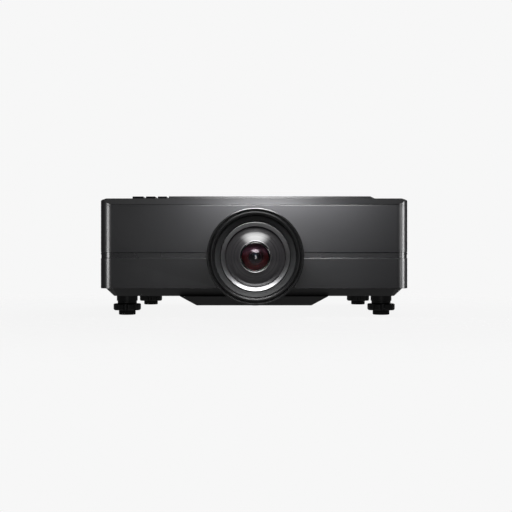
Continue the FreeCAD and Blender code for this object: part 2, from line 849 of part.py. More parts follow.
def make_front_cell():
    """Sliding focus cell whose bright bevelled ring holds the front glass."""
    body = lens_body("front_cell")
    turned(body, "Y", polygon(
        ("cell_back", "cell_radius"), ("cell_front", "cell_radius"),
        ("cell_front", "cell_radius - 0.8"), ("cell_front + 8.4", "glass_lip + 0.6"),
        ("cell_front + 9.1", "glass_lip"), ("cell_front + 9.8", "glass_lip"),
        ("cell_front + 9.8", "glass_seat"), ("glass_back", "glass_seat"),
        ("glass_back", "glass_shelf"), ("glass_back + 3", "glass_shelf"),
        ("glass_back + 3", "zoom_bore"), ("cell_back", "zoom_bore")))


def round_solid(name, kind, radius, y, length=None):
    """A sphere or a cylinder about the lens axis, starting at a place along it."""
    item = doc.addObject("Part::" + kind, name)
    bind(item, "Radius", radius)
    if length:
        bind(item, "Height", length)
        item.Placement.Rotation = FreeCAD.Rotation(Vector(1, 0, 0), -90)
    for axis, formula in (("x", "lens_x"), ("y", y), ("z", "lens_z")):
        bind(item, ".Placement.Base." + axis, formula)
    return item


def combine(label, kind, base, tool):
    result = doc.addObject("Part::" + kind, label.title().replace("_", ""))
    result.Base = base
    result.Tool = tool
    result.Label = label
    return result


def make_glass():
    """Front meniscus with a deep hollow back, and the zoom element behind it."""
    blank = round_solid("GlassBlank", "Cylinder", "glass_radius", "glass_apex - 1",
                        "glass_back - glass_apex + 1")
    dome = round_solid("GlassDome", "Sphere", "glass_curve", "glass_apex + glass_curve")
    hollow = round_solid("GlassHollow", "Sphere", "hollow_curve", "hollow_apex + hollow_curve")
    domed = combine("domed_blank", "Common", blank, dome)
    PIECES.append(combine("front_glass", "Cut", domed, hollow))
    disc = round_solid("InnerBlank", "Cylinder", "inner_radius", "inner_front - 1",
                       "inner_back - inner_front + 1")
    bulge = round_solid("InnerDome", "Sphere", "inner_curve", "inner_front + inner_curve")
    PIECES.append(combine("inner_glass", "Common", disc, bulge))


def tooth(pitch, root, tip, angle, teeth):
    """Outline of one tapered tooth pointing at an angle in degrees from +X."""
    half_root = "%s * pi / %s * tooth_root" % (pitch, teeth)
    half_tip = "%s * pi / %s * tooth_tip" % (pitch, teeth)
    cosine = "cos(%s * 1 deg)" % angle
    sine = "sin(%s * 1 deg)" % angle

    def corner(radius, half):
        return ("(%s) * %s - (%s) * %s" % (radius, cosine, half, sine),
                "(%s) * %s + (%s) * %s" % (radius, sine, half, cosine))

    inside = root + " - tooth_sunk"
    return polygon(corner(inside, "-" + half_root), corner(tip, "-" + half_tip),
                   corner(tip, half_tip), corner(inside, half_root))


def make_drive_ring(label, front, side):
    """Toothed ring that turns on the barrel; a tooth gap faces its pinion."""
    body = lens_body(label)
    back = front + " + ring_width"
    prism(body, "XZ_Plane", [circle("0", "0", "ring_root"), circle("0", "0", "ring_bore")],
          front, back)
    toward = "pinion_angle" if side > 0 else "(180 - pinion_angle)"
    angle = "(%s + 180 / ring_teeth)" % toward
    first = prism(body, "XZ_Plane",
                  [tooth("ring_pitch", "ring_root", "ring_tip", angle, "ring_teeth")], front, back)
    around(body, first, "Y", "ring_teeth")


def pinion_place(side):
    across = "pinion_distance * cos(pinion_angle * 1 deg)"
    up = "lens_z + pinion_distance * sin(pinion_angle * 1 deg)"
    return ("lens_x + " if side > 0 else "lens_x - ") + across, up


def make_pinion(label, front, side):
    """Small gear on the motor's shaft; one tooth points at the lens axis."""
    x, z = pinion_place(side)
    body = new_body(label, x=x, z=z)
    back = front + " + ring_width"
    prism(body, "XZ_Plane", [circle("0", "0", "pinion_root")], front, back)
    angle = "(pinion_angle + 180)" if side > 0 else "(-pinion_angle)"
    first = prism(body, "XZ_Plane",
                  [tooth("pinion_pitch", "pinion_root", "pinion_tip", angle, "pinion_teeth")], front, back)
    around(body, first, "Y", "pinion_teeth")
    prism(body, "XZ_Plane", [circle("0", "0", "shaft_radius")], back, "shaft_back")


def make_lens_motors():
    """Focus and zoom gear motors standing on the lens frame."""
    body = new_body("lens_motors")
    for side in (1, -1):
        x, z = pinion_place(side)
        prism(body, "XZ_Plane", [circle(x, z, "motor_radius")], "motor_front", "barrel_back")
        prism(body, "XZ_Plane", [circle(x, z, "shaft_bore")], "motor_front",
              "shaft_back + 0.5", cut=True)


def make_shift_frames():
    """Fixed lens plate and the two frames that carry the lens up, down and sideways."""
    low = "frame_low"
    high = "frame_high"
    left = "lens_x - frame_half"
    right = "lens_x + frame_half"
    x_front = "barrel_back"
    x_back = "barrel_back + frame_thick"
    z_front = x_back + " + frame_gap"
    z_back = z_front + " + frame_thick"
    plate_front = z_back + " + frame_gap"
    rail_lows = ("frame_low + rail_inset", "frame_high - rail_inset - rail_width")
    rail_lefts = (left + " + rail_inset", right + " - rail_inset - rail_width")

    frame_x = new_body("shift_frame_x")
    prism(frame_x, "XZ_Plane", [rectangle(left, right, low, high),
                                circle("lens_x", "lens_z", "port_x")], x_front, x_back)
    grooves = [rectangle(left + " - 1", right + " + 1", rail + " - fit_gap",
                         rail + " + rail_width + fit_gap") for rail in rail_lows]
    prism(frame_x, "XZ_Plane", grooves, x_back + " - rail_height - fit_gap", x_back, cut=True)

    frame_z = new_body("shift_frame_z")
    prism(frame_z, "XZ_Plane", [rectangle(left, right, low, high),
                                circle("lens_x", "lens_z", "port_z")], z_front, z_back)
    rails = [rectangle(left, right, rail, rail + " + rail_width") for rail in rail_lows]
    prism(frame_z, "XZ_Plane", rails, x_back + " - rail_height", z_front)
    slots = [rectangle(rail + " - fit_gap", rail + " + rail_width + fit_gap", low + " - 1",
                       high + " + 1") for rail in rail_lefts]
    prism(frame_z, "XZ_Plane", slots, z_back + " - rail_height - fit_gap", z_back, cut=True)

    plate = new_body("lens_mount_plate")
    prism(plate, "XZ_Plane", [rectangle("lens_x - plate_half", "lens_x + plate_half",
                                        "tray_bottom + tray_wall", "plate_high"),
                              circle("lens_x", "lens_z", "port_plate")],
          plate_front, plate_front + " + frame_thick")
    guides = [rectangle(rail, rail + " + rail_width", low, high) for rail in rail_lefts]
    prism(plate, "XZ_Plane", guides, z_back + " - rail_height", plate_front)


# ---------------------------------------------------------------- rear connections

def make_io_plate():
    """Connection plate behind the window in the rear panel, cut for each socket."""
    body = new_body("io_plate")
    back = "rear_face - wall"
    prism(body, "XZ_Plane",
          [rectangle("io_left - io_overlap", "io_right + io_overlap",
                     "io_low - io_overlap", "io_high + io_overlap")],
          back + " - io_thick", back)
    holes = [grown_rectangle(*place, "fit_gap") for place in SOCKETS]
    holes += [circle(x, JACK_Z, "jack_radius + fit_gap") for x in JACKS]
    prism(body, "XZ_Plane", holes, back + " - io_thick", back, cut=True)


def grown_rectangle(_, x, z, width, height, grow="0"):
    """Rectangle about a centre, grown by a margin all round."""
    return rectangle("%s - %s / 2 - (%s)" % (x, width, grow), "%s + %s / 2 + (%s)" % (x, width, grow),
                     "%s - %s / 2 - (%s)" % (z, height, grow), "%s + %s / 2 + (%s)" % (z, height, grow))


def make_socket_group(label, wall, depth, tongue=None):
    """Metal socket shells of one kind, each open to the rear, some with a tongue inside."""
    body = new_body(label)
    places = [place for place in SOCKETS if place[0] == label]
    face = "rear_face - wall + 1"
    prism(body, "XZ_Plane", [grown_rectangle(*place) for place in places], "socket_back", face)
    prism(body, "XZ_Plane", [grown_rectangle(*place, "-" + wall) for place in places],
          "%s - %s" % (face, depth), face, cut=True)
    if tongue:
        for _, x, z, width, _ in places:
            prism(body, "XZ_Plane",
                  [grown_rectangle(label, x, z, "%s * 0.7" % width, tongue)],
                  "%s - %s - 1" % (face, depth), face + " - 1")


def make_d_sub_sockets():
    """Two metal-flanged D connectors with raised noses."""
    body = new_body("d_sub_sockets")
    places = [place for place in SOCKETS if place[0] == "d_sub_sockets"]
    prism(body, "XZ_Plane", [grown_rectangle(*place) for place in places],
          "socket_back", "rear_face - wall + dsub_face")
    noses = []
    for _, x, z, _, _ in places:
        top = z + " + dsub_nose_half"
        foot = z + " - dsub_nose_half"
        noses.append(polygon((x + " - dsub_nose_wide", top), (x + " - dsub_nose_narrow", foot),
                             (x + " + dsub_nose_narrow", foot), (x + " + dsub_nose_wide", top)))
    prism(body, "XZ_Plane", noses, "rear_face - wall", "rear_face - wall + dsub_nose")


def make_audio_jacks():
    """Round jacks for small plugs."""
    body = new_body("audio_jacks")
    prism(body, "XZ_Plane", [circle(x, JACK_Z, "jack_radius") for x in JACKS],
          "socket_back + jack_start", "rear_face - wall + jack_face")
    prism(body, "XZ_Plane", [circle(x, JACK_Z, "jack_bore") for x in JACKS],
          "socket_back + jack_floor", "rear_face - wall + 2", cut=True)


def make_mains_inlet():
    """Mains inlet and switch bezel in one moulding, with three flat pins in the cavity."""
    body = new_body("mains_inlet")
    face = "rear_face - 1"
    gap = "fit_gap"
    left = "inlet_x - inlet_half_width + " + gap
    right = "inlet_x + inlet_half_width - " + gap
    low = "inlet_z - inlet_half_height + " + gap
    high = "inlet_z + inlet_half_height - " + gap
    prism(body, "XZ_Plane", [rectangle(left, right, low, high)], "socket_back", face)
    middle = "inlet_x + inlet_shift"
    left = middle + " - cavity_half"
    right = middle + " + cavity_half"
    top = "inlet_z + cavity_high"
    slant = "inlet_z - cavity_slant"
    foot = "inlet_z - cavity_high"
    floor = face + " - inlet_cavity_depth"
    prism(body, "XZ_Plane",
          [polygon((left, top), (left, slant), (middle + " - cavity_narrow", foot),
                   (middle + " + cavity_narrow", foot), (right, slant), (right, top))],
          floor, face, cut=True)
    pins = [rectangle("%s %s - pin_half_thick" % (middle, across),
                      "%s %s + pin_half_thick" % (middle, across),
                      "inlet_z %s - pin_half_high" % up, "inlet_z %s + pin_half_high" % up)
            for across, up in (("- pin_spread", "- pin_drop"), ("+ 0", "+ pin_rise"),
                               ("+ pin_spread", "- pin_drop"))]
    prism(body, "XZ_Plane", pins, floor, floor + " + pin_length")
    switch = ROCKER_X
    prism(body, "XZ_Plane",
          [rectangle(switch + " - rocker_half_width - fit_gap",
                     switch + " + rocker_half_width + fit_gap",
                     "inlet_z - rocker_half_height - rocker_play",
                     "inlet_z + rocker_half_height + rocker_play")],
          face + " - rocker_well", face, cut=True)
    prism(body, "YZ_Plane", [circle("rocker_y", "inlet_z", "rocker_pin + rocker_pin_play")],
          switch + " - rocker_half_width - rocker_bore_reach",
          switch + " + rocker_half_width + rocker_bore_reach", cut=True)


def make_power_rocker():
    """Rocker switch resting on its off side; it turns about a line along X."""
    body = new_body("power_rocker", x=ROCKER_X, y="rocker_y", z="inlet_z")
    bind(body, ".Placement.Rotation.Angle", "rocker_tilt")
    body.Placement.Rotation = FreeCAD.Rotation(Vector(1, 0, 0), amount("rocker_tilt"))
    prism(body, "YZ_Plane",
          [polygon(("rocker_waist", "0"), ("rocker_ridge", "rocker_half_height - rocker_tip"),
                   ("0", "rocker_half_height - rocker_toe"), ("-rocker_heel", "0"),
                   ("0", "-rocker_half_height + rocker_toe"),
                   ("rocker_ridge", "-rocker_half_height + rocker_tip"))],
          "-rocker_half_width", "rocker_half_width")
    prism(body, "YZ_Plane", [circle("0", "0", "rocker_pin")],
          "-rocker_half_width - rocker_pin_reach", "rocker_half_width + rocker_pin_reach")


def make_ir_window():
    """Dark window of the remote receiver, flush in the rear panel."""
    body = new_body("ir_window")
    prism(body, "XZ_Plane",
          [rectangle("window_left + window_play", "window_right - window_play",
                     "window_low + window_play", "window_high - window_play")],
          "rear_face - window_depth", "rear_face - shell_play")


# ---------------------------------------------------------------- inner units

def make_optical_engine():
    """Cast light engine behind the lens plate, with its light port and wheel motor."""
    body = new_body("optical_engine")
    front = "barrel_back + 3 * frame_thick + 2 * frame_gap"
    prism(body, "XY_Plane", [rectangle("engine_left", "engine_right", front, "engine_rear")],
          "engine_low", "engine_high")
    prism(body, "XZ_Plane", [circle("lens_x", "lens_z", "engine_port")],
          front, front + " + engine_port_depth", cut=True)
    prism(body, "XY_Plane",
          [rectangle("engine_left - 1", "engine_notch_right", "engine_notch_front",
                     "engine_rear + 1")], "engine_notch_low", "engine_high + 1", cut=True)
    prism(body, "XZ_Plane", [circle("0", "wheel_disc_z", "wheel_motor")],
          "wheel_motor_start", "wheel_disc_y - wheel_hub_front")


def make_phosphor_wheel():
    """Coated colour-conversion disc on the hub of its motor."""
    body = new_body("phosphor_wheel", z="wheel_disc_z")
    prism(body, "XZ_Plane", [circle("0", "0", "wheel_disc")], "wheel_disc_y",
          "wheel_disc_y + wheel_disc_thick")
    prism(body, "XZ_Plane", [circle("0", "0", "wheel_hub")],
          "wheel_disc_y - wheel_hub_back", "wheel_disc_y + wheel_hub_front")


def make_laser_module():
    """Laser bank: a base block under a row of cooling fins."""
    body = new_body("laser_module")
    prism(body, "XY_Plane", [rectangle("laser_left", "laser_right", "laser_front", "laser_rear")],
          "laser_low", "laser_base_top")
    fin = prism(body, "XY_Plane",
                [rectangle("laser_left + 1", "laser_left + 1 + laser_fin", "laser_front",
                           "laser_rear")], "laser_base_top", "laser_fin_top")
    along(body, fin, "X", "laser_fin_count", "laser_fin_pitch")


def make_fans():
    """Two square fan frames at the vents, and the bladed rotor in each."""
    middle_y = "fan_front + fan_size / 2"
    middle_z = "fan_low + fan_size / 2"
    frames = new_body("fan_frames")
    for low, high in (("fan_outer - fan_thick", "fan_outer"),
                      ("-fan_outer", "-fan_outer + fan_thick")):
        prism(frames, "YZ_Plane",
              [rectangle("fan_front", "fan_front + fan_size", "fan_low", "fan_low + fan_size"),
               circle(middle_y, middle_z, "fan_radius + 1")], low, high)
    for label, start in (("fan_left", "-fan_outer + fan_recess"),
                         ("fan_right", "fan_outer - fan_thick + fan_recess")):
        rotor = new_body(label, x=start, y=middle_y, z=middle_z)
        prism(rotor, "YZ_Plane", [circle("0", "0", "fan_hub")], "0", "fan_thick - 2 * fan_recess")
        blade = prism(rotor, "YZ_Plane",
                      [polygon(("fan_hub - 2", "-blade_root_low"),
                               ("fan_radius - 1", "-blade_tip_low"),
                               ("fan_radius - 1", "-blade_tip_high"),
                               ("fan_hub - 2", "-blade_root_high"))],
                      "blade_front", "fan_thick - 2 * fan_recess - blade_front")
        around(rotor, blade, "X", "fan_blades")


def make_boards():
    """Main board behind the sockets and the boxed power supply."""
    board = new_body("main_board")
    prism(board, "XY_Plane",
          [rectangle("board_main_left", "board_main_right", "board_main_front",
                     "board_main_rear")], "board_main_low", "board_main_top")
    prism(board, "XY_Plane", [rectangle(*chip) for chip in CHIPS], "board_main_top", "chip_top")
    supply = new_body("power_supply")
    prism(supply, "XY_Plane",
          [rectangle("supply_left", "supply_right", "supply_front", "supply_rear")],
          "supply_low", "supply_top")
    dress(supply, "Chamfer", "supply_chamfer", lambda middle, edge: near(middle.z, "supply_top"))


# ---------------------------------------------------------------- places of repeated things

KEY_COLUMNS = (("-194.3", "-176.4"), ("-172.9", "-157.7"), ("-153.9", "-139.5"))
KEYS = ((0, 0, "key_menu"), (1, 0, "key_down"), (2, 0, "key_back"),
        (0, 1, "key_left"), (1, 1, "key_enter"), (2, 1, "key_right"),
        (0, 2, "key_power"), (1, 2, "key_up"), (2, 2, "key_source"))
LIGHT_ROWS = ("-160", "-150", "-140")
FEET = (("front_left", "-foot_x", "foot_front"), ("front_right", "foot_x", "foot_front"),
        ("rear_left", "-foot_x", "foot_rear"), ("rear_right", "foot_x", "foot_rear"))
BOLTS = (("-bolt_x", "bolt_front"), ("bolt_x", "bolt_front"),
         ("-bolt_x", "bolt_rear"), ("bolt_x", "bolt_rear"))
REAR_SCREWS = (("-222", "60"), ("222", "60"), ("-200", "164"), ("222", "158"))
HATCH_SCREWS = (("-120", "44"), ("170", "44"))
SOCKETS = (("hdmi_sockets", "-165", "86", "hdmi_width", "hdmi_height"),
           ("hdmi_sockets", "-138", "86", "hdmi_width", "hdmi_height"),
           ("d_sub_sockets", "-100", "86", "dsub_width", "dsub_height"),
           ("d_sub_sockets", "-60", "86", "dsub_width", "dsub_height"),
           ("network_socket", "-22", "86", "lan_width", "lan_height"),
           ("usb_sockets", "6", "80", "usb_width", "usb_height"),
           ("usb_sockets", "6", "92", "usb_width", "usb_height"))
CHIPS = (("-60", "-20", "120", "160"), ("10", "34", "130", "154"), ("-140", "-116", "110", "134"))
JACKS = ("34", "54", "74")
JACK_Z = "86"
ROCKER_X = "inlet_x - rocker_shift"

make_front_panel()
make_accent_strips()
make_rear_panel()
make_side_vent("side_vent_left", -1)
make_side_vent("side_vent_right", 1)
make_top_cover()
make_service_hatch()
make_base_tray()
make_belly_pan()
make_cover_screws()
for key_column, key_line, key_label in KEYS:
    make_key(key_label, key_column, key_line)
make_key_board()
make_status_lights()
make_foot_necks()
for foot_place, foot_across, foot_along in FEET:
    make_foot(foot_place, foot_across, foot_along)
make_lens_hood()
make_lens_barrel()
make_front_cell()
make_glass()
make_drive_ring("focus_ring", "focus_ring_front", 1)
make_drive_ring("zoom_ring", "zoom_ring_front", -1)
make_pinion("focus_pinion", "focus_ring_front", 1)
make_pinion("zoom_pinion", "zoom_ring_front", -1)
make_lens_motors()
make_shift_frames()
make_io_plate()
make_socket_group("hdmi_sockets", "0.6", "8", tongue="1.2")
make_socket_group("network_socket", "2.2", "14")
make_socket_group("usb_sockets", "0.7", "10", tongue="2")
make_d_sub_sockets()
make_audio_jacks()
make_mains_inlet()
make_power_rocker()
make_ir_window()
make_optical_engine()
make_phosphor_wheel()
make_laser_module()
make_fans()
make_boards()
doc.recompute()

for item in doc.Objects:
    if "Invalid" in item.State or "Error" in item.State:
        raise RuntimeError("%s did not rebuild: %s" % (item.Label, item.State))
os.makedirs("parts", exist_ok=True)
for piece in PIECES:
    if piece.Shape.isNull() or not piece.Shape.isValid():
        raise RuntimeError("%s has no valid shape" % piece.Label)
    piece.Shape.exportStep(os.path.join("parts", piece.Label + ".step"))
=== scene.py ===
import math

import bmesh
import bpy
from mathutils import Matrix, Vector


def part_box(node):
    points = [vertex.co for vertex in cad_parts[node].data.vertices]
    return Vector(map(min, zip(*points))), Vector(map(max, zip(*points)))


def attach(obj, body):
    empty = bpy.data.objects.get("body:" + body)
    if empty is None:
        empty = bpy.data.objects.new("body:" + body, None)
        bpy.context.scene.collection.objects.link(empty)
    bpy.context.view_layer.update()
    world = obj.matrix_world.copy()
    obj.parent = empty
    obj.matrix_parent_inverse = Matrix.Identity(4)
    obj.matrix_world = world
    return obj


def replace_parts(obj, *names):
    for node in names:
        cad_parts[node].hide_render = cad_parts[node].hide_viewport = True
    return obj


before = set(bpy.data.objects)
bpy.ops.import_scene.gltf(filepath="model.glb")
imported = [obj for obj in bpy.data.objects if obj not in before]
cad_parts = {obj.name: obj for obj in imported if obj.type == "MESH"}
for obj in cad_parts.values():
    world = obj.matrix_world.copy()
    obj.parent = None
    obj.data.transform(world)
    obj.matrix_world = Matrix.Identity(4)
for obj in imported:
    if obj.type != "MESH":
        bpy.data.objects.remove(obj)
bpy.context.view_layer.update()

# ---------------------------------------------------------------------------------------
# The studio: a pale floor that fades out round the projector, a wide soft light overhead, a
# box and narrow strips over the lens and the face, tall panels to the sides, a fill behind.

MM = 0.001


def select_only(piece):
    """Make one object the only selected and active one."""
    bpy.ops.object.select_all(action="DESELECT")
    piece.select_set(True)
    bpy.context.view_layer.objects.active = piece


def new_primitive(name, add, **sizes):
    """Add a mesh primitive with nothing else selected, and name it."""
    bpy.ops.object.select_all(action="DESELECT")
    add(**sizes)
    piece = bpy.context.active_object
    piece.name = name
    return piece


def maths(tree, operation, *values):
    """One maths node fed by sockets or plain numbers; gives its result socket."""
    node = tree.nodes.new("ShaderNodeMath")
    node.operation = operation
    for place, value in enumerate(values):
        if isinstance(value, (int, float)):
            node.inputs[place].default_value = value
        else:
            tree.links.new(value, node.inputs[place])
    return node.outputs["Value"]


def rescale(tree, value, low, high, start=0.0, end=1.0, smooth=False):
    """Map a value from low...high to start...end, held at both ends."""
    node = tree.nodes.new("ShaderNodeMapRange")
    node.interpolation_type = "SMOOTHSTEP" if smooth else "LINEAR"
    limits = {"From Min": low, "From Max": high, "To Min": start, "To Max": end}
    for label, number in limits.items():
        node.inputs[label].default_value = number
    tree.links.new(value, node.inputs["Value"])
    return node.outputs["Result"]


def own_place(tree):
    """The position on the object, in metres."""
    return tree.nodes.new("ShaderNodeTexCoord").outputs["Object"]


def new_material(name):
    """An empty material with its shader, ready for its values."""
    material = bpy.data.materials.new(name)
    material.use_nodes = True
    return material, material.node_tree, material.node_tree.nodes["Principled BSDF"]


FLOOR_RADIUS = 1.4
FADE_START = 0.3
FADE_END = 0.95
FLOOR_GLOW = 0.15
FLOOR_TONE = 0.89
floor = new_primitive("floor", bpy.ops.mesh.primitive_circle_add, vertices=96,
                      radius=FLOOR_RADIUS, fill_type="NGON")
floor_paint, tree, shader = new_material("studio_floor")
shader.inputs["Base Color"].default_value = (0.1, 0.1, 0.1, 1)
shader.inputs["Roughness"].default_value = 0.9
shader.inputs["Specular IOR Level"].default_value = 0.0
shader.inputs["Emission Color"].default_value = (1, 1, 1, 1)
rays = tree.nodes.new("ShaderNodeLightPath")
tree.links.new(rescale(tree, rays.outputs["Is Camera Ray"], 0, 1, FLOOR_GLOW, FLOOR_TONE),
               shader.inputs["Emission Strength"])
reach = tree.nodes.new("ShaderNodeVectorMath")
reach.operation = "LENGTH"
tree.links.new(own_place(tree), reach.inputs[0])
tree.links.new(rescale(tree, reach.outputs["Value"], FADE_START, FADE_END, 1, 0, smooth=True),
               shader.inputs["Alpha"])
floor.data.materials.append(floor_paint)

world = bpy.data.worlds.new("studio")
world.use_nodes = True
bpy.context.scene.world = world
tree = world.node_tree
rays = tree.nodes.new("ShaderNodeLightPath")
tone = tree.nodes.new("ShaderNodeMix")
tone.data_type = "RGBA"
tone.inputs["A"].default_value = (0.02, 0.02, 0.021, 1)
tone.inputs["B"].default_value = (0.93, 0.93, 0.93, 1)
tree.links.new(rays.outputs["Is Camera Ray"], tone.inputs["Factor"])
tree.links.new(tone.outputs["Result"], tree.nodes["Background"].inputs["Color"])
bpy.context.scene.view_settings.view_transform = "Standard"


def soft_box(name, place, target, width, height, radiance, fade=0.3):
    """An area light of a given brightness per area, aimed at a point, that fades to its edges."""
    lamp = bpy.data.lights.new(name, "AREA")
    lamp.shape = "RECTANGLE"
    lamp.size = width
    lamp.size_y = height
    lamp.energy = radiance * math.pi * width * height
    lamp.use_nodes = True
    tree = lamp.node_tree
    across = tree.nodes.new("ShaderNodeSeparateXYZ")
    surface = tree.nodes.new("ShaderNodeNewGeometry")
    tree.links.new(surface.outputs["Parametric"], across.inputs["Vector"])
    strength = 1.0
    for side in ("X", "Y"):
        for edge in (0.0, 1.0):
            near_edge = rescale(tree, across.outputs[side], edge, abs(edge - fade), smooth=True)
            strength = maths(tree, "MULTIPLY", strength, near_edge)
    tree.links.new(strength, tree.nodes["Emission"].inputs["Strength"])
    box = bpy.data.objects.new(name, lamp)
    box.location = place
    box.rotation_euler = (Vector(target) - Vector(place)).to_track_quat("-Z", "Y").to_euler()
    box.visible_camera = False
    bpy.context.collection.objects.link(box)
    return box


STRIP_Y = -0.255
STRIP_Z = 0.25
LEFT_CORNER = (-0.22, -0.2, 0.1)
RIGHT_CORNER = (0.22, -0.2, 0.1)
PANEL_HEIGHT = 1.3
soft_box("overhead", (0, 0.3, 1.9), (0, 0.05, 0), 2.0, 1.6, radiance=0.65)
soft_box("front_sliver", (0.003, -1.95, 0.09), (0.003, 0, 0.09), 0.05, 0.3, radiance=20, fade=0.2)
soft_box("rear_fill", (0.4, 2.0, 0.9), (0, 0.25, 0.1), 1.6, 1.0, radiance=8)
face_strip = soft_box("face_strip", (0.05, STRIP_Y, STRIP_Z), (0.05, -0.2, 0.1), 0.34, 0.035,
                      radiance=190)
edge_strip = soft_box("edge_strip", (0.02, STRIP_Y, STRIP_Z), (0.02, -0.2, 0.1), 0.2, 0.035,
                      radiance=190)
lens_lights = [
    soft_box("lens_key", (0, -0.8, 0.62), (0, -0.8, 0), 0.95, 0.8, radiance=9, fade=0.4),
    soft_box("rim_strip", (0, STRIP_Y, STRIP_Z), (0, -0.25, 0.1), 0.2, 0.035, radiance=60)]
side_panels = [
    soft_box("side_left", (-1.14, -1.12, 0.12), LEFT_CORNER, 0.5, PANEL_HEIGHT, radiance=18),
    soft_box("side_right", (1.5, -0.46, 0.12), RIGHT_CORNER, 0.5, PANEL_HEIGHT, radiance=20),
    soft_box("side_right_fill", (1.22, -1.04, 0.12), RIGHT_CORNER, 0.35, PANEL_HEIGHT,
             radiance=6)]

camera_data = bpy.data.cameras.new("camera")
camera_data.sensor_width = 36
camera_data.lens = 66.9
camera_data.shift_y = 0.0059
camera = bpy.data.objects.new("camera", camera_data)
camera.location = (0.003, -1.6895, 0.0898)
camera.rotation_euler = (math.radians(90), 0, 0)
bpy.context.collection.objects.link(camera)
bpy.context.scene.camera = camera

# ---------------------------------------------------------------------------------------
# Front shell: one injection-moulded wall with rounded ends, a flanged lens aperture and a
# channel for the accent strip. Spark-textured dark grey plastic, clipped to tray and cover.


def new_group(name, inputs, outputs):
    """A shader group with named sockets; gives the tree, its inputs and its outputs."""
    tree = bpy.data.node_groups.new(name, "ShaderNodeTree")
    for direction, kinds in (("INPUT", inputs), ("OUTPUT", outputs)):
        for label, kind in kinds.items():
            tree.interface.new_socket(label, in_out=direction, socket_type="NodeSocket" + kind)
    given = tree.nodes.new("NodeGroupInput").outputs
    result = tree.nodes.new("NodeGroupOutput").inputs
    return tree, given, result


def noise(tree, place, scale, detail=2.0):
    """Noise over a position; the scale is a number or a socket."""
    node = tree.nodes.new("ShaderNodeTexNoise")
    node.inputs["Detail"].default_value = detail
    tree.links.new(place, node.inputs["Vector"])
    if isinstance(scale, (int, float)):
        node.inputs["Scale"].default_value = scale
    else:
        tree.links.new(scale, node.inputs["Scale"])
    return node.outputs["Fac"]


def mix_colours(tree, factor, first, second):
    """Mix two colours given as sockets or as plain tuples."""
    node = tree.nodes.new("ShaderNodeMix")
    node.data_type = "RGBA"
    tree.links.new(factor, node.inputs["Factor"])
    for label, colour in (("A", first), ("B", second)):
        if isinstance(colour, tuple):
            node.inputs[label].default_value = (*colour, 1)
        else:
            tree.links.new(colour, node.inputs[label])
    return node.outputs["Result"]


BUMP_HEIGHT = 0.4 * MM
SKIN_INPUTS = {"Size": "Float", "Roughness": "Float", "Spread": "Float"}
SKIN_OUTPUTS = {"Height": "Float", "Gloss": "Float"}


def uneven_gloss(tree, given, result, patches):
    """Let the roughness wander about its given value with a patchy mask."""
    wander = maths(tree, "SUBTRACT", patches, 0.5)
    gloss = maths(tree, "MULTIPLY_ADD", wander, given["Spread"], given["Roughness"])
    tree.links.new(gloss, result["Gloss"])


def build_grain():
    """Moulded plastic skin: fine pits, a slow waviness and slightly uneven gloss."""
    wave_size, wave_share = 9.0, 0.35
    tree, given, result = new_group("moulded_grain", SKIN_INPUTS, SKIN_OUTPUTS)
    place = own_place(tree)
    pits = noise(tree, place, given["Size"], 3)
    waves = noise(tree, place, wave_size, 4)
    tree.links.new(maths(tree, "MULTIPLY_ADD", waves, wave_share, pits), result["Height"])
    uneven_gloss(tree, given, result, waves)
    return tree


def build_wear():
    """Handling marks: rubbed edges turn paler, and upward faces hold a thin film of dust."""
    scuff_size, speck_size = 60.0, 900.0
    dust_colour = (0.32, 0.31, 0.29)
    tree, given, result = new_group(
        "wear_and_dust", {"Color": "Color", "Rubbed": "Color", "Edge": "Float", "Dust": "Float"},
        {"Color": "Color", "Dull": "Float"})
    shape = tree.nodes.new("ShaderNodeNewGeometry")
    place = own_place(tree)
    crest = rescale(tree, shape.outputs["Pointiness"], 0.52, 0.64)
    broken = maths(tree, "MULTIPLY", crest, noise(tree, place, scuff_size, 5))
    worn = mix_colours(tree, maths(tree, "MULTIPLY", broken, given["Edge"]), given["Color"],
                       given["Rubbed"])
    facing = tree.nodes.new("ShaderNodeSeparateXYZ")
    tree.links.new(shape.outputs["Normal"], facing.inputs["Vector"])
    flat = rescale(tree, facing.outputs["Z"], 0.7, 1.0)
    specks = rescale(tree, noise(tree, place, speck_size), 0.5, 0.8)
    dust = maths(tree, "MULTIPLY", maths(tree, "MULTIPLY", flat, specks), given["Dust"])
    tree.links.new(mix_colours(tree, dust, worn, dust_colour), result["Color"])
    tree.links.new(dust, result["Dull"])
    return tree


MOULDED = build_grain()
WEAR = build_wear()


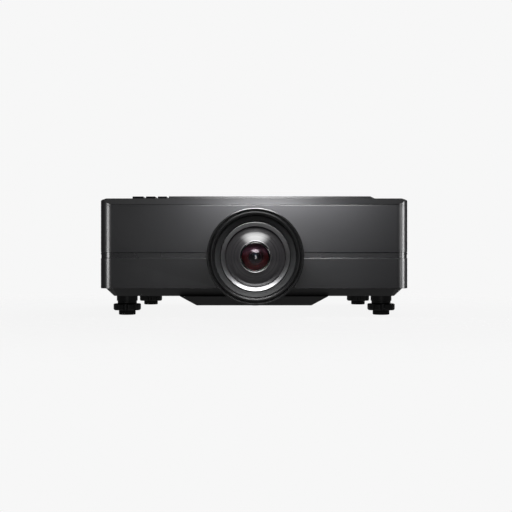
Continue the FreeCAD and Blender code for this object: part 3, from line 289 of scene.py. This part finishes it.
def finish(name, colour, roughness, skin=None, size=1400.0, depth=0.05, spread=0.12,
           edge=0.5, dust=0.25, metallic=0.0, rubbed=None):
    """A surface with a fine skin, worn edges and a little dust on its upward faces."""
    material, tree, shader = new_material(name)
    shader.inputs["Metallic"].default_value = metallic
    grain = tree.nodes.new("ShaderNodeGroup")
    grain.node_tree = skin or MOULDED
    grain.inputs["Size"].default_value = size
    grain.inputs["Roughness"].default_value = roughness
    grain.inputs["Spread"].default_value = spread
    marks = tree.nodes.new("ShaderNodeGroup")
    marks.node_tree = WEAR
    marks.inputs["Color"].default_value = (*colour, 1)
    paler = rubbed or [channel * 2.2 + 0.02 for channel in colour]
    marks.inputs["Rubbed"].default_value = (*paler, 1)
    marks.inputs["Edge"].default_value = edge
    marks.inputs["Dust"].default_value = dust
    tree.links.new(marks.outputs["Color"], shader.inputs["Base Color"])
    gloss = maths(tree, "MULTIPLY_ADD", marks.outputs["Dull"], 0.4, grain.outputs["Gloss"])
    tree.links.new(gloss, shader.inputs["Roughness"])
    bump = tree.nodes.new("ShaderNodeBump")
    bump.inputs["Strength"].default_value = depth
    bump.inputs["Distance"].default_value = BUMP_HEIGHT
    tree.links.new(grain.outputs["Height"], bump.inputs["Height"])
    tree.links.new(bump.outputs["Normal"], shader.inputs["Normal"])
    return material


def welded_copy(node, name):
    """Copy of a CAD shell with its triangles welded and its flat faces joined."""
    piece = bpy.data.objects.new(name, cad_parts[node].data.copy())
    bpy.context.collection.objects.link(piece)
    select_only(piece)
    bpy.ops.mesh.customdata_custom_splitnormals_clear()
    bpy.ops.object.mode_set(mode="EDIT")
    bpy.ops.mesh.select_all(action="SELECT")
    bpy.ops.mesh.remove_doubles(threshold=2e-6)
    bpy.ops.mesh.dissolve_limited(angle_limit=math.radians(0.6))
    bpy.ops.object.mode_set(mode="OBJECT")
    return piece


def apply_modifier(piece, kind, **values):
    """Add one modifier, set it and apply it."""
    select_only(piece)
    modifier = piece.modifiers.new(kind, kind)
    for key, value in values.items():
        setattr(modifier, key, value)
    bpy.ops.object.modifier_apply(modifier=modifier.name)


def round_edges(piece, width, segments=2, angle=30):
    """Break the sharp edges and keep the flat faces flat in the shading."""
    apply_modifier(piece, "BEVEL", width=width, segments=segments, limit_method="ANGLE",
                   angle_limit=math.radians(angle), miter_outer="MITER_ARC")
    bpy.ops.object.shade_smooth_by_angle(angle=math.radians(angle))
    apply_modifier(piece, "WEIGHTED_NORMAL", keep_sharp=True)


def place_on(piece, body, material):
    """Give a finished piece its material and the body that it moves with."""
    piece.data.materials.clear()
    piece.data.materials.append(material)
    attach(piece, body)
    return piece


def stand_for(piece, node, body, material):
    """Put a finished piece in the place of its CAD node."""
    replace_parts(place_on(piece, body, material), node)


def shell(node, name, body, material, width, segments=2, angle=30):
    """A CAD shell with its edges rounded as a mould would leave them."""
    piece = welded_copy(node, name)
    round_edges(piece, width, segments, angle)
    stand_for(piece, node, body, material)


casing = finish("casing_satin", (0.009, 0.009, 0.0096), 0.3, size=2200.0, depth=0.035)
shell("front_panel", "front_shell", "root", casing, 0.5 * MM, 3)

# ---------------------------------------------------------------------------------------
# Accent strip: a thin smooth strip pressed into the channel, running round both corners.

strip_skin = finish("strip_satin", (0.008, 0.008, 0.0085), 0.26, size=3000.0, depth=0.02)
shell("accent_strips", "accent_strip", "root", strip_skin, 0.12 * MM)

# ---------------------------------------------------------------------------------------
# Top cover and service hatch: a wide lid in the casing's plastic with a broad front bevel,
# and a raised plate over the lens bay, coarser in texture, held by two screws.

shell("top_cover", "top_cover_shell", "root", casing, 0.9 * MM, 4, 15)
hatch_skin = finish("hatch_textured", (0.008, 0.008, 0.0085), 0.5, size=1100.0, depth=0.12)
shell("service_hatch", "hatch_plate", "root", hatch_skin, 0.5 * MM, 3, 20)


def single_point(name):
    """A new mesh in edit mode, shrunk to one vertex at the origin."""
    piece = new_primitive(name, bpy.ops.mesh.primitive_plane_add, size=MM)
    bpy.ops.object.mode_set(mode="EDIT")
    bpy.ops.mesh.select_mode(type="VERT")
    bpy.ops.mesh.select_all(action="SELECT")
    bpy.ops.mesh.merge(type="COLLAPSE")
    return piece


def outline_plate(name, outline, stand, thick, rim=0.0):
    """A thin plate cut to an outline; stand turns (u, v, w) into a place on the projector."""
    piece = single_point(name)
    points = [stand(u, v, 0.0) for u, v in outline]
    bpy.ops.transform.translate(value=points[0])
    for before, after in zip(points, points[1:]):
        bpy.ops.mesh.extrude_region_move(TRANSFORM_OT_translate={"value": after - before})
    bpy.ops.mesh.select_all(action="SELECT")
    bpy.ops.mesh.edge_face_add()
    up = stand(0.0, 0.0, thick) - stand(0.0, 0.0, 0.0)
    bpy.ops.mesh.extrude_region_move(TRANSFORM_OT_translate={"value": up})
    bpy.ops.mesh.select_all(action="SELECT")
    bpy.ops.mesh.normals_make_consistent(inside=False)
    bpy.ops.object.mode_set(mode="OBJECT")
    if rim:
        round_edges(piece, rim)
    return piece


def copy_piece(piece, name, shift):
    """A copy of a finished piece with its own mesh, moved into its place."""
    twin = bpy.data.objects.new(name, piece.data.copy())
    bpy.context.collection.objects.link(twin)
    select_only(twin)
    bpy.ops.object.mode_set(mode="EDIT")
    bpy.ops.mesh.select_all(action="SELECT")
    bpy.ops.transform.translate(value=shift)
    bpy.ops.object.mode_set(mode="OBJECT")
    return twin


hatch_low, hatch_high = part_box("service_hatch")


def on_hatch(u, v, w):
    """A place on the hatch's top, u to the right and v to the rear of its middle front."""
    return Vector(((hatch_low.x + hatch_high.x) / 2 + u, hatch_low.y + v, hatch_high.z + w))


def bar(left, right, low, high):
    """Outline of an upright rectangle."""
    return [(left, low), (right, low), (right, high), (left, high)]


RIB_COUNT = 6
RIB_LENGTH = 34 * MM
RIB_WIDTH = 0.9 * MM
RIB_PITCH = 2.6 * MM
RIB_START = 9 * MM
rib = outline_plate("grip_rib_0",
                    bar(-RIB_LENGTH / 2, RIB_LENGTH / 2, RIB_START, RIB_START + RIB_WIDTH),
                    on_hatch, thick=0.5 * MM, rim=0.2 * MM)
for number in range(1, RIB_COUNT):
    place_on(copy_piece(rib, f"grip_rib_{number}", (0, number * RIB_PITCH, 0)), "root",
             hatch_skin)
place_on(rib, "root", hatch_skin)

# ---------------------------------------------------------------------------------------
# Lens hood: a black anodised aluminium rim, turned on a lathe, with a groove behind its
# nose and a shallow satin cone leading in to the front cell. Screwed on the barrel.

hood_low, hood_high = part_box("lens_hood")
LENS_X = (hood_low.x + hood_high.x) / 2
LENS_Z = (hood_low.z + hood_high.z) / 2


def round_lens_axis(tree):
    """Distance from the lens axis, height above it and place along it, as sockets."""
    split = tree.nodes.new("ShaderNodeSeparateXYZ")
    tree.links.new(own_place(tree), split.inputs["Vector"])
    across = maths(tree, "SUBTRACT", split.outputs["X"], LENS_X)
    upward = maths(tree, "SUBTRACT", split.outputs["Z"], LENS_Z)
    squares = maths(tree, "ADD", maths(tree, "MULTIPLY", across, across),
                    maths(tree, "MULTIPLY", upward, upward))
    return maths(tree, "SQRT", squares), upward, split.outputs["Y"]


def build_turning():
    """Fine tool rings round the lens axis, with gloss that changes from ring to ring."""
    tree, given, result = new_group("turned_rings", SKIN_INPUTS, SKIN_OUTPUTS)
    radius, _, depth = round_lens_axis(tree)
    along = maths(tree, "MULTIPLY_ADD", depth, 0.7, radius)
    rings = tree.nodes.new("ShaderNodeTexNoise")
    rings.noise_dimensions = "1D"
    rings.inputs["Detail"].default_value = 3
    tree.links.new(along, rings.inputs["W"])
    tree.links.new(given["Size"], rings.inputs["Scale"])
    tree.links.new(rings.outputs["Fac"], result["Height"])
    uneven_gloss(tree, given, result, rings.outputs["Fac"])
    return tree


TURNED = build_turning()


def spun(name, profile, centre, steps=128, along="Y"):
    """Turn a profile of (distance along the axis, radius) points, in mm, once round it."""
    def place(point):
        reach = point[1] * MM
        if along == "Y":
            return Vector((centre[0] + reach, point[0] * MM, centre[1]))
        return Vector((centre[0] + reach, centre[1], point[0] * MM))
    piece = single_point(name)
    bpy.ops.transform.translate(value=place(profile[0]))
    for before, after in zip(profile, profile[1:]):
        bpy.ops.mesh.extrude_region_move(
            TRANSFORM_OT_translate={"value": place(after) - place(before)})
    bpy.ops.mesh.select_all(action="SELECT")
    if along == "Y":
        pivot, axis = (centre[0], 0, centre[1]), (0, 1, 0)
    else:
        pivot, axis = (centre[0], centre[1], 0), (0, 0, 1)
    bpy.ops.mesh.spin(steps=steps, angle=2 * math.pi, center=pivot, axis=axis)
    bpy.ops.mesh.select_all(action="SELECT")
    bpy.ops.mesh.remove_doubles(threshold=1e-6)
    bpy.ops.mesh.normals_make_consistent(inside=False)
    bpy.ops.object.mode_set(mode="OBJECT")
    bpy.ops.object.shade_smooth_by_angle(angle=math.radians(32))
    return piece


def dome(apex, curve, start, end, points=14):
    """Points on a lens surface: its apex, its radius of curvature and two edge radii, in mm."""
    surface = []
    for step in range(points + 1):
        radius = start + (end - start) * step / points
        sag = curve - math.sqrt(curve * curve - radius * radius)
        surface.append((apex + sag, radius))
    return surface


def bend(first, middle, last, steps=6):
    """Points on the arc through three points of a profile, both ends included."""
    (a, b), (c, d), (e, f) = first, middle, last
    twice_area = 2 * (a * (d - f) + c * (f - b) + e * (b - d))
    norms = (a * a + b * b, c * c + d * d, e * e + f * f)
    centre_x = (norms[0] * (d - f) + norms[1] * (f - b) + norms[2] * (b - d)) / twice_area
    centre_y = (norms[0] * (e - c) + norms[1] * (a - e) + norms[2] * (c - a)) / twice_area
    radius = math.hypot(a - centre_x, b - centre_y)
    angles = [math.atan2(y - centre_y, x - centre_x) for x, y in (first, middle, last)]
    full = 2 * math.pi
    to_middle = (angles[1] - angles[0]) % full
    sweep = (angles[2] - angles[0]) % full
    if to_middle > sweep:
        sweep -= full
    turns = [angles[0] + sweep * step / steps for step in range(steps + 1)]
    return [(centre_x + radius * math.cos(turn), centre_y + radius * math.sin(turn))
            for turn in turns]


LENS_AXIS = (LENS_X, LENS_Z)
anodised = finish("black_anodised", (0.016, 0.016, 0.0165), 0.25, skin=TURNED, size=2600.0,
                  depth=0.05, spread=0.2, edge=0.08, dust=0.1, metallic=0.35)
cone_grey = finish("satin_anodised", (0.036, 0.037, 0.038), 0.6, skin=TURNED, size=2600.0,
                   depth=0.06, spread=0.2, edge=0.2, dust=0.1, metallic=0.1)
lip_front, bead_front = (-254.4, 72.4), (-254.1, 66.2)
outer_lip = (bend((-251.6, 74), (-253.9, 73.2), lip_front, 3)
             + bend(lip_front, (-254.3, 71.5), (-253, 70.6), 3)[1:])
inner_bead = (bend((-252.4, 69.3), (-253.9, 67.7), bead_front, 3)
              + bend(bead_front, (-252.9, 63.6), (-251.4, 62.8), 3)[1:])
hood = spun("hood_rim", (
    [(-216, 62), (-216, 70.2), (-216.4, 70.9), (-220.6, 73.6), (-221.4, 74)]
    + outer_lip + [(-249.9, 70.4), (-249.5, 70.3), (-249.5, 69.8), (-250, 69.6)]
    + inner_bead + [(-247.4, 62.3), (-233, 62), (-216, 62)]), LENS_AXIS, 160)
stand_for(hood, "lens_hood", "lens", anodised)
cone = spun("hood_cone", [
    (-236, 61.9), (-246.4, 61.9), (-246.9, 61.6), (-246.8, 61.2), (-241.4, 54.2),
    (-240.8, 53.9), (-240.2, 53.9), (-236, 53.9), (-236, 61.9)], LENS_AXIS, 160)
place_on(cone, "lens", cone_grey)
shell("lens_barrel", "barrel_tube", "lens", anodised, 0.3 * MM)

# ---------------------------------------------------------------------------------------
# Front cell: a bead-blasted bright aluminium retaining ring with a shallow inner bevel,
# holding the large front element, whose edge zone is blackened. It moves with the focus.

bright_metal = finish("bright_aluminium", (0.5, 0.5, 0.51), 0.34, skin=TURNED, size=2200.0,
                      depth=0.05, spread=0.14, edge=0.0, dust=0.0, metallic=1.0)
cell = spun("retaining_ring", [
    (-212, 49), (-212, 53), (-238.9, 53), (-239.5, 52.9), (-239.9, 52.6), (-240, 52.2),
    (-239.8, 51.7), (-237.2, 47.3), (-236.8, 46.8), (-236.2, 46.5), (-230.8, 46.5),
    (-230.6, 47), (-230.6, 49), (-212, 49)], LENS_AXIS, 160)
stand_for(cell, "front_cell", "focus_group", bright_metal)


def lens_glass(name, tint):
    """Clear optical glass; its coating shows as a tint in what it mirrors."""
    material, tree, shader = new_material(name)
    shader.inputs["Base Color"].default_value = (1, 1, 1, 1)
    shader.inputs["Transmission Weight"].default_value = 1
    shader.inputs["IOR"].default_value = 1.52
    shader.inputs["Specular Tint"].default_value = (*tint, 1)
    haze = rescale(tree, noise(tree, own_place(tree), 320.0, 4), 0.35, 0.8, 0.0, 0.035)
    tree.links.new(haze, shader.inputs["Roughness"])
    return material


CLEAR_RADIUS = 23.4
front_element = spun("front_element", (
    dome(-246, 80, 0, CLEAR_RADIUS, 8) + dome(-246, 80, CLEAR_RADIUS + 0.6, 45.9, 9)
    + [(-231.2, 46.2), (-224.4, 46.2), (-224, 45.8), (-224, CLEAR_RADIUS)]
    + dome(-236.4, 28, 23.2, 0, 12)), LENS_AXIS)
stand_for(front_element, "front_glass", "focus_group",
          lens_glass("front_element_glass", (1.0, 0.97, 0.95)))
edge_black = finish("edge_blackened_glass", (0.045, 0.043, 0.046), 0.3, skin=TURNED, size=500.0,
                    depth=0.01, spread=0.3, edge=0.0, dust=0.0)
edge_shader = edge_black.node_tree.nodes["Principled BSDF"]
edge_shader.inputs["Coat Weight"].default_value = 1
edge_shader.inputs["Coat Roughness"].default_value = 0.03
edge_shader.inputs["Coat IOR"].default_value = 1.6
front_element.data.materials.append(edge_black)
for face in front_element.data.polygons:
    off_axis = math.hypot(face.center.x - LENS_X, face.center.z - LENS_Z)
    if off_axis > CLEAR_RADIUS * MM:
        face.material_index = 1

# ---------------------------------------------------------------------------------------
# Inside the lens: a blackened seat, bright cell rings, a stepped baffle whose red is a painted
# reflection, and three coated elements that mirror mauve, deep red and pale blue; the mauve and
# red are partly painted reflections in their colour. The rear one moves with the zoom.

blacking = finish("lens_blacking", (0.006, 0.006, 0.0065), 0.5, skin=TURNED, size=2600.0,
                  depth=0.05, edge=0.0, dust=0.0)
seat = spun("element_seat", [
    (-223.9, 23.9), (-223.9, 46.2), (-220, 46.2), (-220, 23.9), (-223.9, 23.9)], LENS_AXIS)
place_on(seat, "focus_group", blacking)
inner_ring = spun("inner_cell_ring", [
    (-219, 21.8), (-219, 23.7), (-223.4, 23.7), (-224.2, 23.3), (-224.6, 22.9), (-224.5, 22.2),
    (-223.8, 21.8), (-219, 21.8)], LENS_AXIS)
place_on(inner_ring, "focus_group", bright_metal)


def coated_element(name, middle, edge, painted_top_reflection, tint, roughness):
    """A coated element over a black cell: dark in the middle, with a painted reflection of its
    coating growing outward, in another colour at the top as a painted reflection of the light
    above."""
    material, tree, shader = new_material(name)
    radius, upward, _ = round_lens_axis(tree)
    # Painted reflection: the coating's coloured reflection is painted into the base colour,
    # growing outward from the dark middle and changing colour towards the top.
    painted_reflection_outward = rescale(tree, radius, 7 * MM, 20 * MM, smooth=True)
    painted_top_mask = rescale(tree, upward, 0, 11 * MM, smooth=True)
    coating = mix_colours(tree, painted_top_mask, edge, painted_top_reflection)
    tree.links.new(mix_colours(tree, painted_reflection_outward, middle, coating), shader.inputs["Base Color"])
    shader.inputs["Specular Tint"].default_value = (*tint, 1)
    shader.inputs["Specular IOR Level"].default_value = 0.9
    haze = rescale(tree, noise(tree, own_place(tree), 400.0, 3), 0.3, 0.8, roughness,
                   roughness + 0.05)
    tree.links.new(haze, shader.inputs["Roughness"])
    return material


second_element = spun("second_element", (
    dome(-231, 45, 0, 21.4, 12) + [(-217.4, 21.4), (-217, 21), (-217, 0)]), LENS_AXIS)
place_on(second_element, "focus_group",
         coated_element("glass_painted_red_reflection", (0.001, 0.0008, 0.001), (0.26, 0.04, 0.045),
                        (0.4, 0.16, 0.24), (0.85, 0.55, 0.75), 0.22))
pupil = spun("relay_element", (
    dome(-233.4, 9, 0, 6.4, 8) + [(-230, 6.6), (-229, 6.6), (-229, 0)]), LENS_AXIS, 64)
place_on(pupil, "focus_group",
         coated_element("blue_coated_glass", (0.001, 0.001, 0.0015), (0.002, 0.002, 0.003),
                        (0.002, 0.003, 0.005), (0.6, 0.8, 1.0), 0.2))
edge_front = (-244.4, 23.85)
edge_back = (-243.3, 23.85)
rim_line = spun("clear_edge_ring", (
    bend(edge_back, (-243.85, 23.25), edge_front, 4)
    + bend(edge_front, (-243.85, 24.45), edge_back, 4)), LENS_AXIS)
place_on(rim_line, "focus_group", bright_metal)
# Painted reflection: the baffle's red colour stands in for the red reflections of the lens
# coatings, not the baffle's own colour.
painted_red_reflection = finish("baffle_painted_red_reflection", (0.3, 0.035, 0.04), 0.35, skin=TURNED, size=2600.0,
                  depth=0.03, edge=0.0, dust=0.0)
BAFFLE_FRONT = -216.4
BAFFLE_PITCH = 1.75
BAFFLE_STEP = 1.35
steps = [(BAFFLE_FRONT, 21.5)]
for number in range(4):
    start, radius = BAFFLE_FRONT + BAFFLE_PITCH * number, 19.6 - BAFFLE_STEP * number
    steps += [(start, radius), (start + 1.5, radius - 0.3)]
baffle = spun("stepped_baffle", steps + [(-209.65, 23), (-215.8, 23), steps[0]], LENS_AXIS)
place_on(baffle, "focus_group", painted_red_reflection)
inner_element = spun("zoom_element", (
    dome(-205.6, 30, 0, 14, 8) + [(-202, 14.3), (-202, 49.5), (-201.6, 49.7), (-190.4, 49.7),
                                  (-190, 49.4), (-190, 0)]), LENS_AXIS)
stand_for(inner_element, "inner_glass", "zoom_group",
          coated_element("zoom_element_glass", (0.002, 0.001, 0.001), (0.06, 0.01, 0.012),
                         (0.08, 0.03, 0.05), (0.9, 0.2, 0.2), 0.04))

# ---------------------------------------------------------------------------------------
# Keys: nine moulded caps with shallow dishes, standing through the cover beside the hatch,
# each with a printed white sign. They press down 0.8 mm on a switch board.

key_skin = finish("key_plastic", (0.011, 0.011, 0.0115), 0.38, size=2600.0, depth=0.05, edge=0.7)
print_white = finish("printed_white", (0.62, 0.62, 0.6), 0.6, size=900.0, depth=0.02, edge=0.0)


def select_faces(piece, test):
    """In edit mode, select just the faces whose centre and normal pass the test."""
    mesh = bmesh.from_edit_mesh(piece.data)
    for face in mesh.faces:
        face.select_set(test(face.calc_center_median(), face.normal))
    bmesh.update_edit_mesh(piece.data)


def ring_outline(outer, inner, start, end, steps=20):
    """Outline of a band between two radii from one angle to another, in degrees."""
    angles = [math.radians(start + (end - start) * step / steps) for step in range(steps + 1)]
    outside = [(outer * math.cos(angle), outer * math.sin(angle)) for angle in angles]
    inside = [(inner * math.cos(angle), inner * math.sin(angle)) for angle in reversed(angles)]
    return outside + inside


def arrow(turn):
    """Outline of a pointer, turned by so many degrees from pointing right."""
    angle = math.radians(turn)
    corners = [(2.2, 0), (-1.4, 2.1), (-1.4, -2.1)]
    return [(u * math.cos(angle) - v * math.sin(angle), u * math.sin(angle) + v * math.cos(angle))
            for u, v in corners]


KEY_SIGNS = {
    "menu": [bar(-2.4, 2.4, -1.9, -1.3), bar(-2.4, 2.4, -0.3, 0.3), bar(-2.4, 2.4, 1.3, 1.9)],
    "down": [arrow(-90)],
    "back": [ring_outline(2.2, 1.6, -90, 90), [(-2.6, 1.9), (0, 3.1), (0, 0.7)],
             bar(-1.2, 0, -2.2, -1.6)],
    "left": [arrow(180)],
    "enter": [ring_outline(2.3, 1.6, 0, 350), ring_outline(0.9, 0.05, 0, 350)],
    "right": [arrow(0)],
    "power": [ring_outline(2.3, 1.7, -235, 55), bar(-0.3, 0.3, 0.5, 2.7)],
    "up": [arrow(90)],
    "source": [bar(-2.7, 0.8, 1.5, 2.0), bar(-2.7, 0.8, -2.0, -1.5), bar(-2.7, -2.2, -1.5, 1.5),
               [(2.6, 0), (0.2, 1.2), (0.2, -1.2)], bar(-1.2, 0.2, -0.25, 0.25)],
}
KEY_DISH = 0.22 * MM
KEY_BORDER = 0.9 * MM
PRINT_GAP = 0.01 * MM
PRINT_THICK = 0.06 * MM
for sign, outlines in KEY_SIGNS.items():
    node = f"key_{sign}"
    low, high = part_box(node)
    cap = welded_copy(node, f"cap_{sign}")
    bpy.ops.object.mode_set(mode="EDIT")
    bpy.ops.mesh.select_mode(type="FACE")
    select_faces(cap, lambda centre, normal: normal.z > 0.9 and centre.z > high.z - 0.1 * MM)
    bpy.ops.mesh.inset(thickness=KEY_BORDER)
    bpy.ops.transform.translate(value=(0, 0, -KEY_DISH))
    bpy.ops.mesh.select_mode(type="VERT")
    bpy.ops.object.mode_set(mode="OBJECT")
    round_edges(cap, 0.35 * MM, 3)
    stand_for(cap, node, node, key_skin)

    def on_key(u, v, w):
        """A place in the dish of this cap, from its middle."""
        middle = (low + high) / 2
        floor_z = high.z - KEY_DISH + PRINT_GAP
        return Vector((middle.x + u * MM, middle.y + v * MM, floor_z + w))

    for count, outline in enumerate(outlines):
        mark = outline_plate(f"print_{sign}_{count}", outline, on_key, PRINT_THICK)
        place_on(mark, node, print_white)

# ---------------------------------------------------------------------------------------
# Status lights: three small clear domes pressed through the cover beside the keys.

light_skin = finish("light_guide", (0.35, 0.36, 0.38), 0.18, size=500.0, depth=0.02, edge=0.0)
shell("status_lights", "status_domes", "root", light_skin, 0.4 * MM, 4)

# ---------------------------------------------------------------------------------------
# Base: a black moulded tray with sloping sides, and a shallow pan under the lens bay.
# Coarser texture than the casing; the tray carries the ceiling bolts and the feet.

base_skin = finish("base_textured", (0.055, 0.055, 0.056), 0.45, size=1500.0, depth=0.12)
shell("base_tray", "base_shell", "root", base_skin, 0.6 * MM, 3)
shell("belly_pan", "belly_shell", "root", base_skin, 0.8 * MM, 3)

# ---------------------------------------------------------------------------------------
# Side vents: louvred grilles of moulded black plastic, clipped into both walls. Their thin
# slats run from the front corners to the rear.

vent_skin = finish("vent_textured", (0.012, 0.012, 0.0125), 0.48, size=1600.0, depth=0.1)
shell("side_vent_left", "grille_left", "root", vent_skin, 0.3 * MM)
shell("side_vent_right", "grille_right", "root", vent_skin, 0.3 * MM)

# ---------------------------------------------------------------------------------------
# Feet: four screw feet. A fixed neck stands under the tray, the notched wheel turns on its
# stud, and a grooved rubber pad stays level on the table.

foot_skin = finish("foot_plastic", (0.012, 0.012, 0.0125), 0.4, size=1500.0, depth=0.08, edge=0.8)
rubber = finish("foot_rubber", (0.012, 0.012, 0.012), 0.72, size=900.0, depth=0.2, edge=0.4,
                dust=0.5)
shell("foot_necks", "foot_necks_shell", "root", foot_skin, 0.5 * MM, 3)
TREAD_STARTS = (4, 8)
tread = [(0.5, 0), (0.5, 3.6)]
for start in TREAD_STARTS:
    tread += [(0.05, start), (0.05, start + 2.4), (0.6, start + 2.8), (0.6, start + 3.6)]
for place in ("front_left", "front_right", "rear_left", "rear_right"):
    shell(f"foot_wheel_{place}", f"wheel_{place}_knob", f"wheel_{place}", foot_skin, 0.45 * MM, 3)
    low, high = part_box(f"foot_pad_{place}")
    middle = (low + high) / 2
    pad = spun(f"pad_{place}_rubber", tread + [
        (0.05, 12), (0.3, 12.9), (0.9, 13.4), (5.6, 13.5), (6.6, 13.1), (7.1, 12.2), (7.1, 0)],
        (middle.x, middle.y), 64, "Z")
    stand_for(pad, f"foot_pad_{place}", f"pad_{place}", rubber)

# ---------------------------------------------------------------------------------------
# Screws: small steel pan heads, blackened, that hold the hatch and the rear panel. Their
# rims are rubbed bright by the driver.

screw_skin = finish("screw_black", (0.09, 0.09, 0.095), 0.35, size=1500.0, depth=0.04, edge=1.0,
                    metallic=1.0, rubbed=(0.4, 0.4, 0.4))
shell("cover_screws", "cover_screw_heads", "root", screw_skin, 0.3 * MM)

# ---------------------------------------------------------------------------------------
# Rear: the panel, its recessed connector plate, the sockets and the mains inlet, the
# power switch and the window of the remote control receiver.

shell("rear_panel", "rear_shell", "root", casing, 0.5 * MM, 3)
plate_skin = finish("connector_plate", (0.016, 0.016, 0.017), 0.45, size=1800.0, depth=0.06)
shell("io_plate", "connector_plate_shell", "root", plate_skin, 0.2 * MM)
inlet_skin = finish("inlet_plastic", (0.01, 0.01, 0.01), 0.4, size=1500.0, depth=0.05)
shell("mains_inlet", "mains_inlet_shell", "root", inlet_skin, 0.3 * MM)
shell("power_rocker", "power_rocker_cap", "rocker", key_skin, 0.35 * MM, 3)

# ---------------------------------------------------------------------------------------
# Inner units, seen through the openings: cast light engine, laser module with its sink,
# fans, boards, supply, lens frames, motors and gears.


def build_casting():
    """Rough die-cast skin: shallow lumps over a fine sandy grain."""
    tree, given, result = new_group("cast_skin", SKIN_INPUTS, SKIN_OUTPUTS)
    place = own_place(tree)
    lumps = noise(tree, place, 120.0, 4)
    sand = noise(tree, place, given["Size"], 2)
    tree.links.new(maths(tree, "MULTIPLY_ADD", lumps, 2.0, sand), result["Height"])
    uneven_gloss(tree, given, result, lumps)
    return tree


def build_brushing():
    """Straight brushed lines along the width."""
    tree, given, result = new_group("brushed_lines", SKIN_INPUTS, SKIN_OUTPUTS)
    stretch = tree.nodes.new("ShaderNodeVectorMath")
    stretch.operation = "MULTIPLY"
    stretch.inputs[1].default_value = (0.02, 1.0, 1.0)
    tree.links.new(own_place(tree), stretch.inputs[0])
    lines = noise(tree, stretch.outputs["Vector"], given["Size"], 3)
    tree.links.new(lines, result["Height"])
    uneven_gloss(tree, given, result, lines)
    return tree


CAST = build_casting()
BRUSHED = build_brushing()
INNER_FINISHES = (
    (finish("engine_casting", (0.3, 0.3, 0.31), 0.5, skin=CAST, size=900.0, depth=0.4,
            metallic=1.0), ("optical_engine",)),
    (finish("sink_aluminium", (0.6, 0.6, 0.61), 0.35, skin=BRUSHED, size=1200.0,
            metallic=1.0), ("laser_module",)),
    (finish("supply_steel", (0.5, 0.51, 0.52), 0.4, skin=BRUSHED, size=700.0,
            metallic=1.0), ("power_supply",)),
    (finish("frame_steel", (0.32, 0.32, 0.33), 0.42, skin=BRUSHED, size=900.0,
            metallic=1.0), ("shift_frame_x", "shift_frame_z", "lens_mount_plate")),
    (finish("motor_steel", (0.45, 0.45, 0.46), 0.3, skin=BRUSHED, size=900.0,
            metallic=1.0), ("lens_motors",)),
    (finish("board_green", (0.008, 0.06, 0.025), 0.35, size=300.0, depth=0.15),
     ("key_board", "main_board")),
    (finish("gear_plastic", (0.03, 0.03, 0.032), 0.4, size=1500.0),
     ("focus_ring", "zoom_ring", "focus_pinion", "zoom_pinion")),
    (finish("fan_plastic", (0.014, 0.014, 0.015), 0.38, size=1200.0),
     ("fan_frames", "fan_left", "fan_right")),
    (finish("wheel_disc", (0.55, 0.5, 0.2), 0.25, skin=BRUSHED, size=900.0, metallic=0.6),
     ("phosphor_wheel",)),
    (finish("socket_nickel", (0.62, 0.6, 0.56), 0.28, skin=BRUSHED, size=1500.0, metallic=1.0,
            depth=0.03), ("hdmi_sockets", "network_socket", "usb_sockets", "d_sub_sockets")),
    (finish("socket_plastic", (0.012, 0.012, 0.012), 0.42, size=1500.0), ("audio_jacks",)),
    (finish("receiver_window", (0.01, 0.002, 0.003), 0.08, size=400.0, depth=0.01, edge=0.0),
     ("ir_window",)),
)
for material, names in INNER_FINISHES:
    for name in names:
        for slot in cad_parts[name].material_slots:
            slot.material = material

# ---------------------------------------------------------------------------------------
# Flags round the lights: the side panels reach the front, the cover and the louvres, one
# strip the casing, another the front panel alone, and the lens has its own box and strip.

LENS_PIECES = ("hood_rim", "hood_cone", "retaining_ring", "front_element", "element_seat",
               "inner_cell_ring", "clear_edge_ring", "second_element", "relay_element",
               "stepped_baffle", "zoom_element")
CASING_PIECES = ("front_shell", "accent_strip", "top_cover_shell", "rear_shell", "hatch_plate",
                 "grille_left", "grille_right")
FRONT_PIECES = ("front_shell", "accent_strip")
SIDE_PIECES = ("front_shell", "accent_strip", "top_cover_shell", "grille_left", "grille_right")
for label, names, lamps in (("lens_only", LENS_PIECES, lens_lights),
                            ("front_only", FRONT_PIECES, [face_strip]),
                            ("casing_only", CASING_PIECES, [edge_strip]),
                            ("front_and_sides", SIDE_PIECES, side_panels)):
    reached = bpy.data.collections.new(label)
    for name in names:
        reached.objects.link(bpy.data.objects[name])
    for lamp in lamps:
        lamp.light_linking.receiver_collection = reached
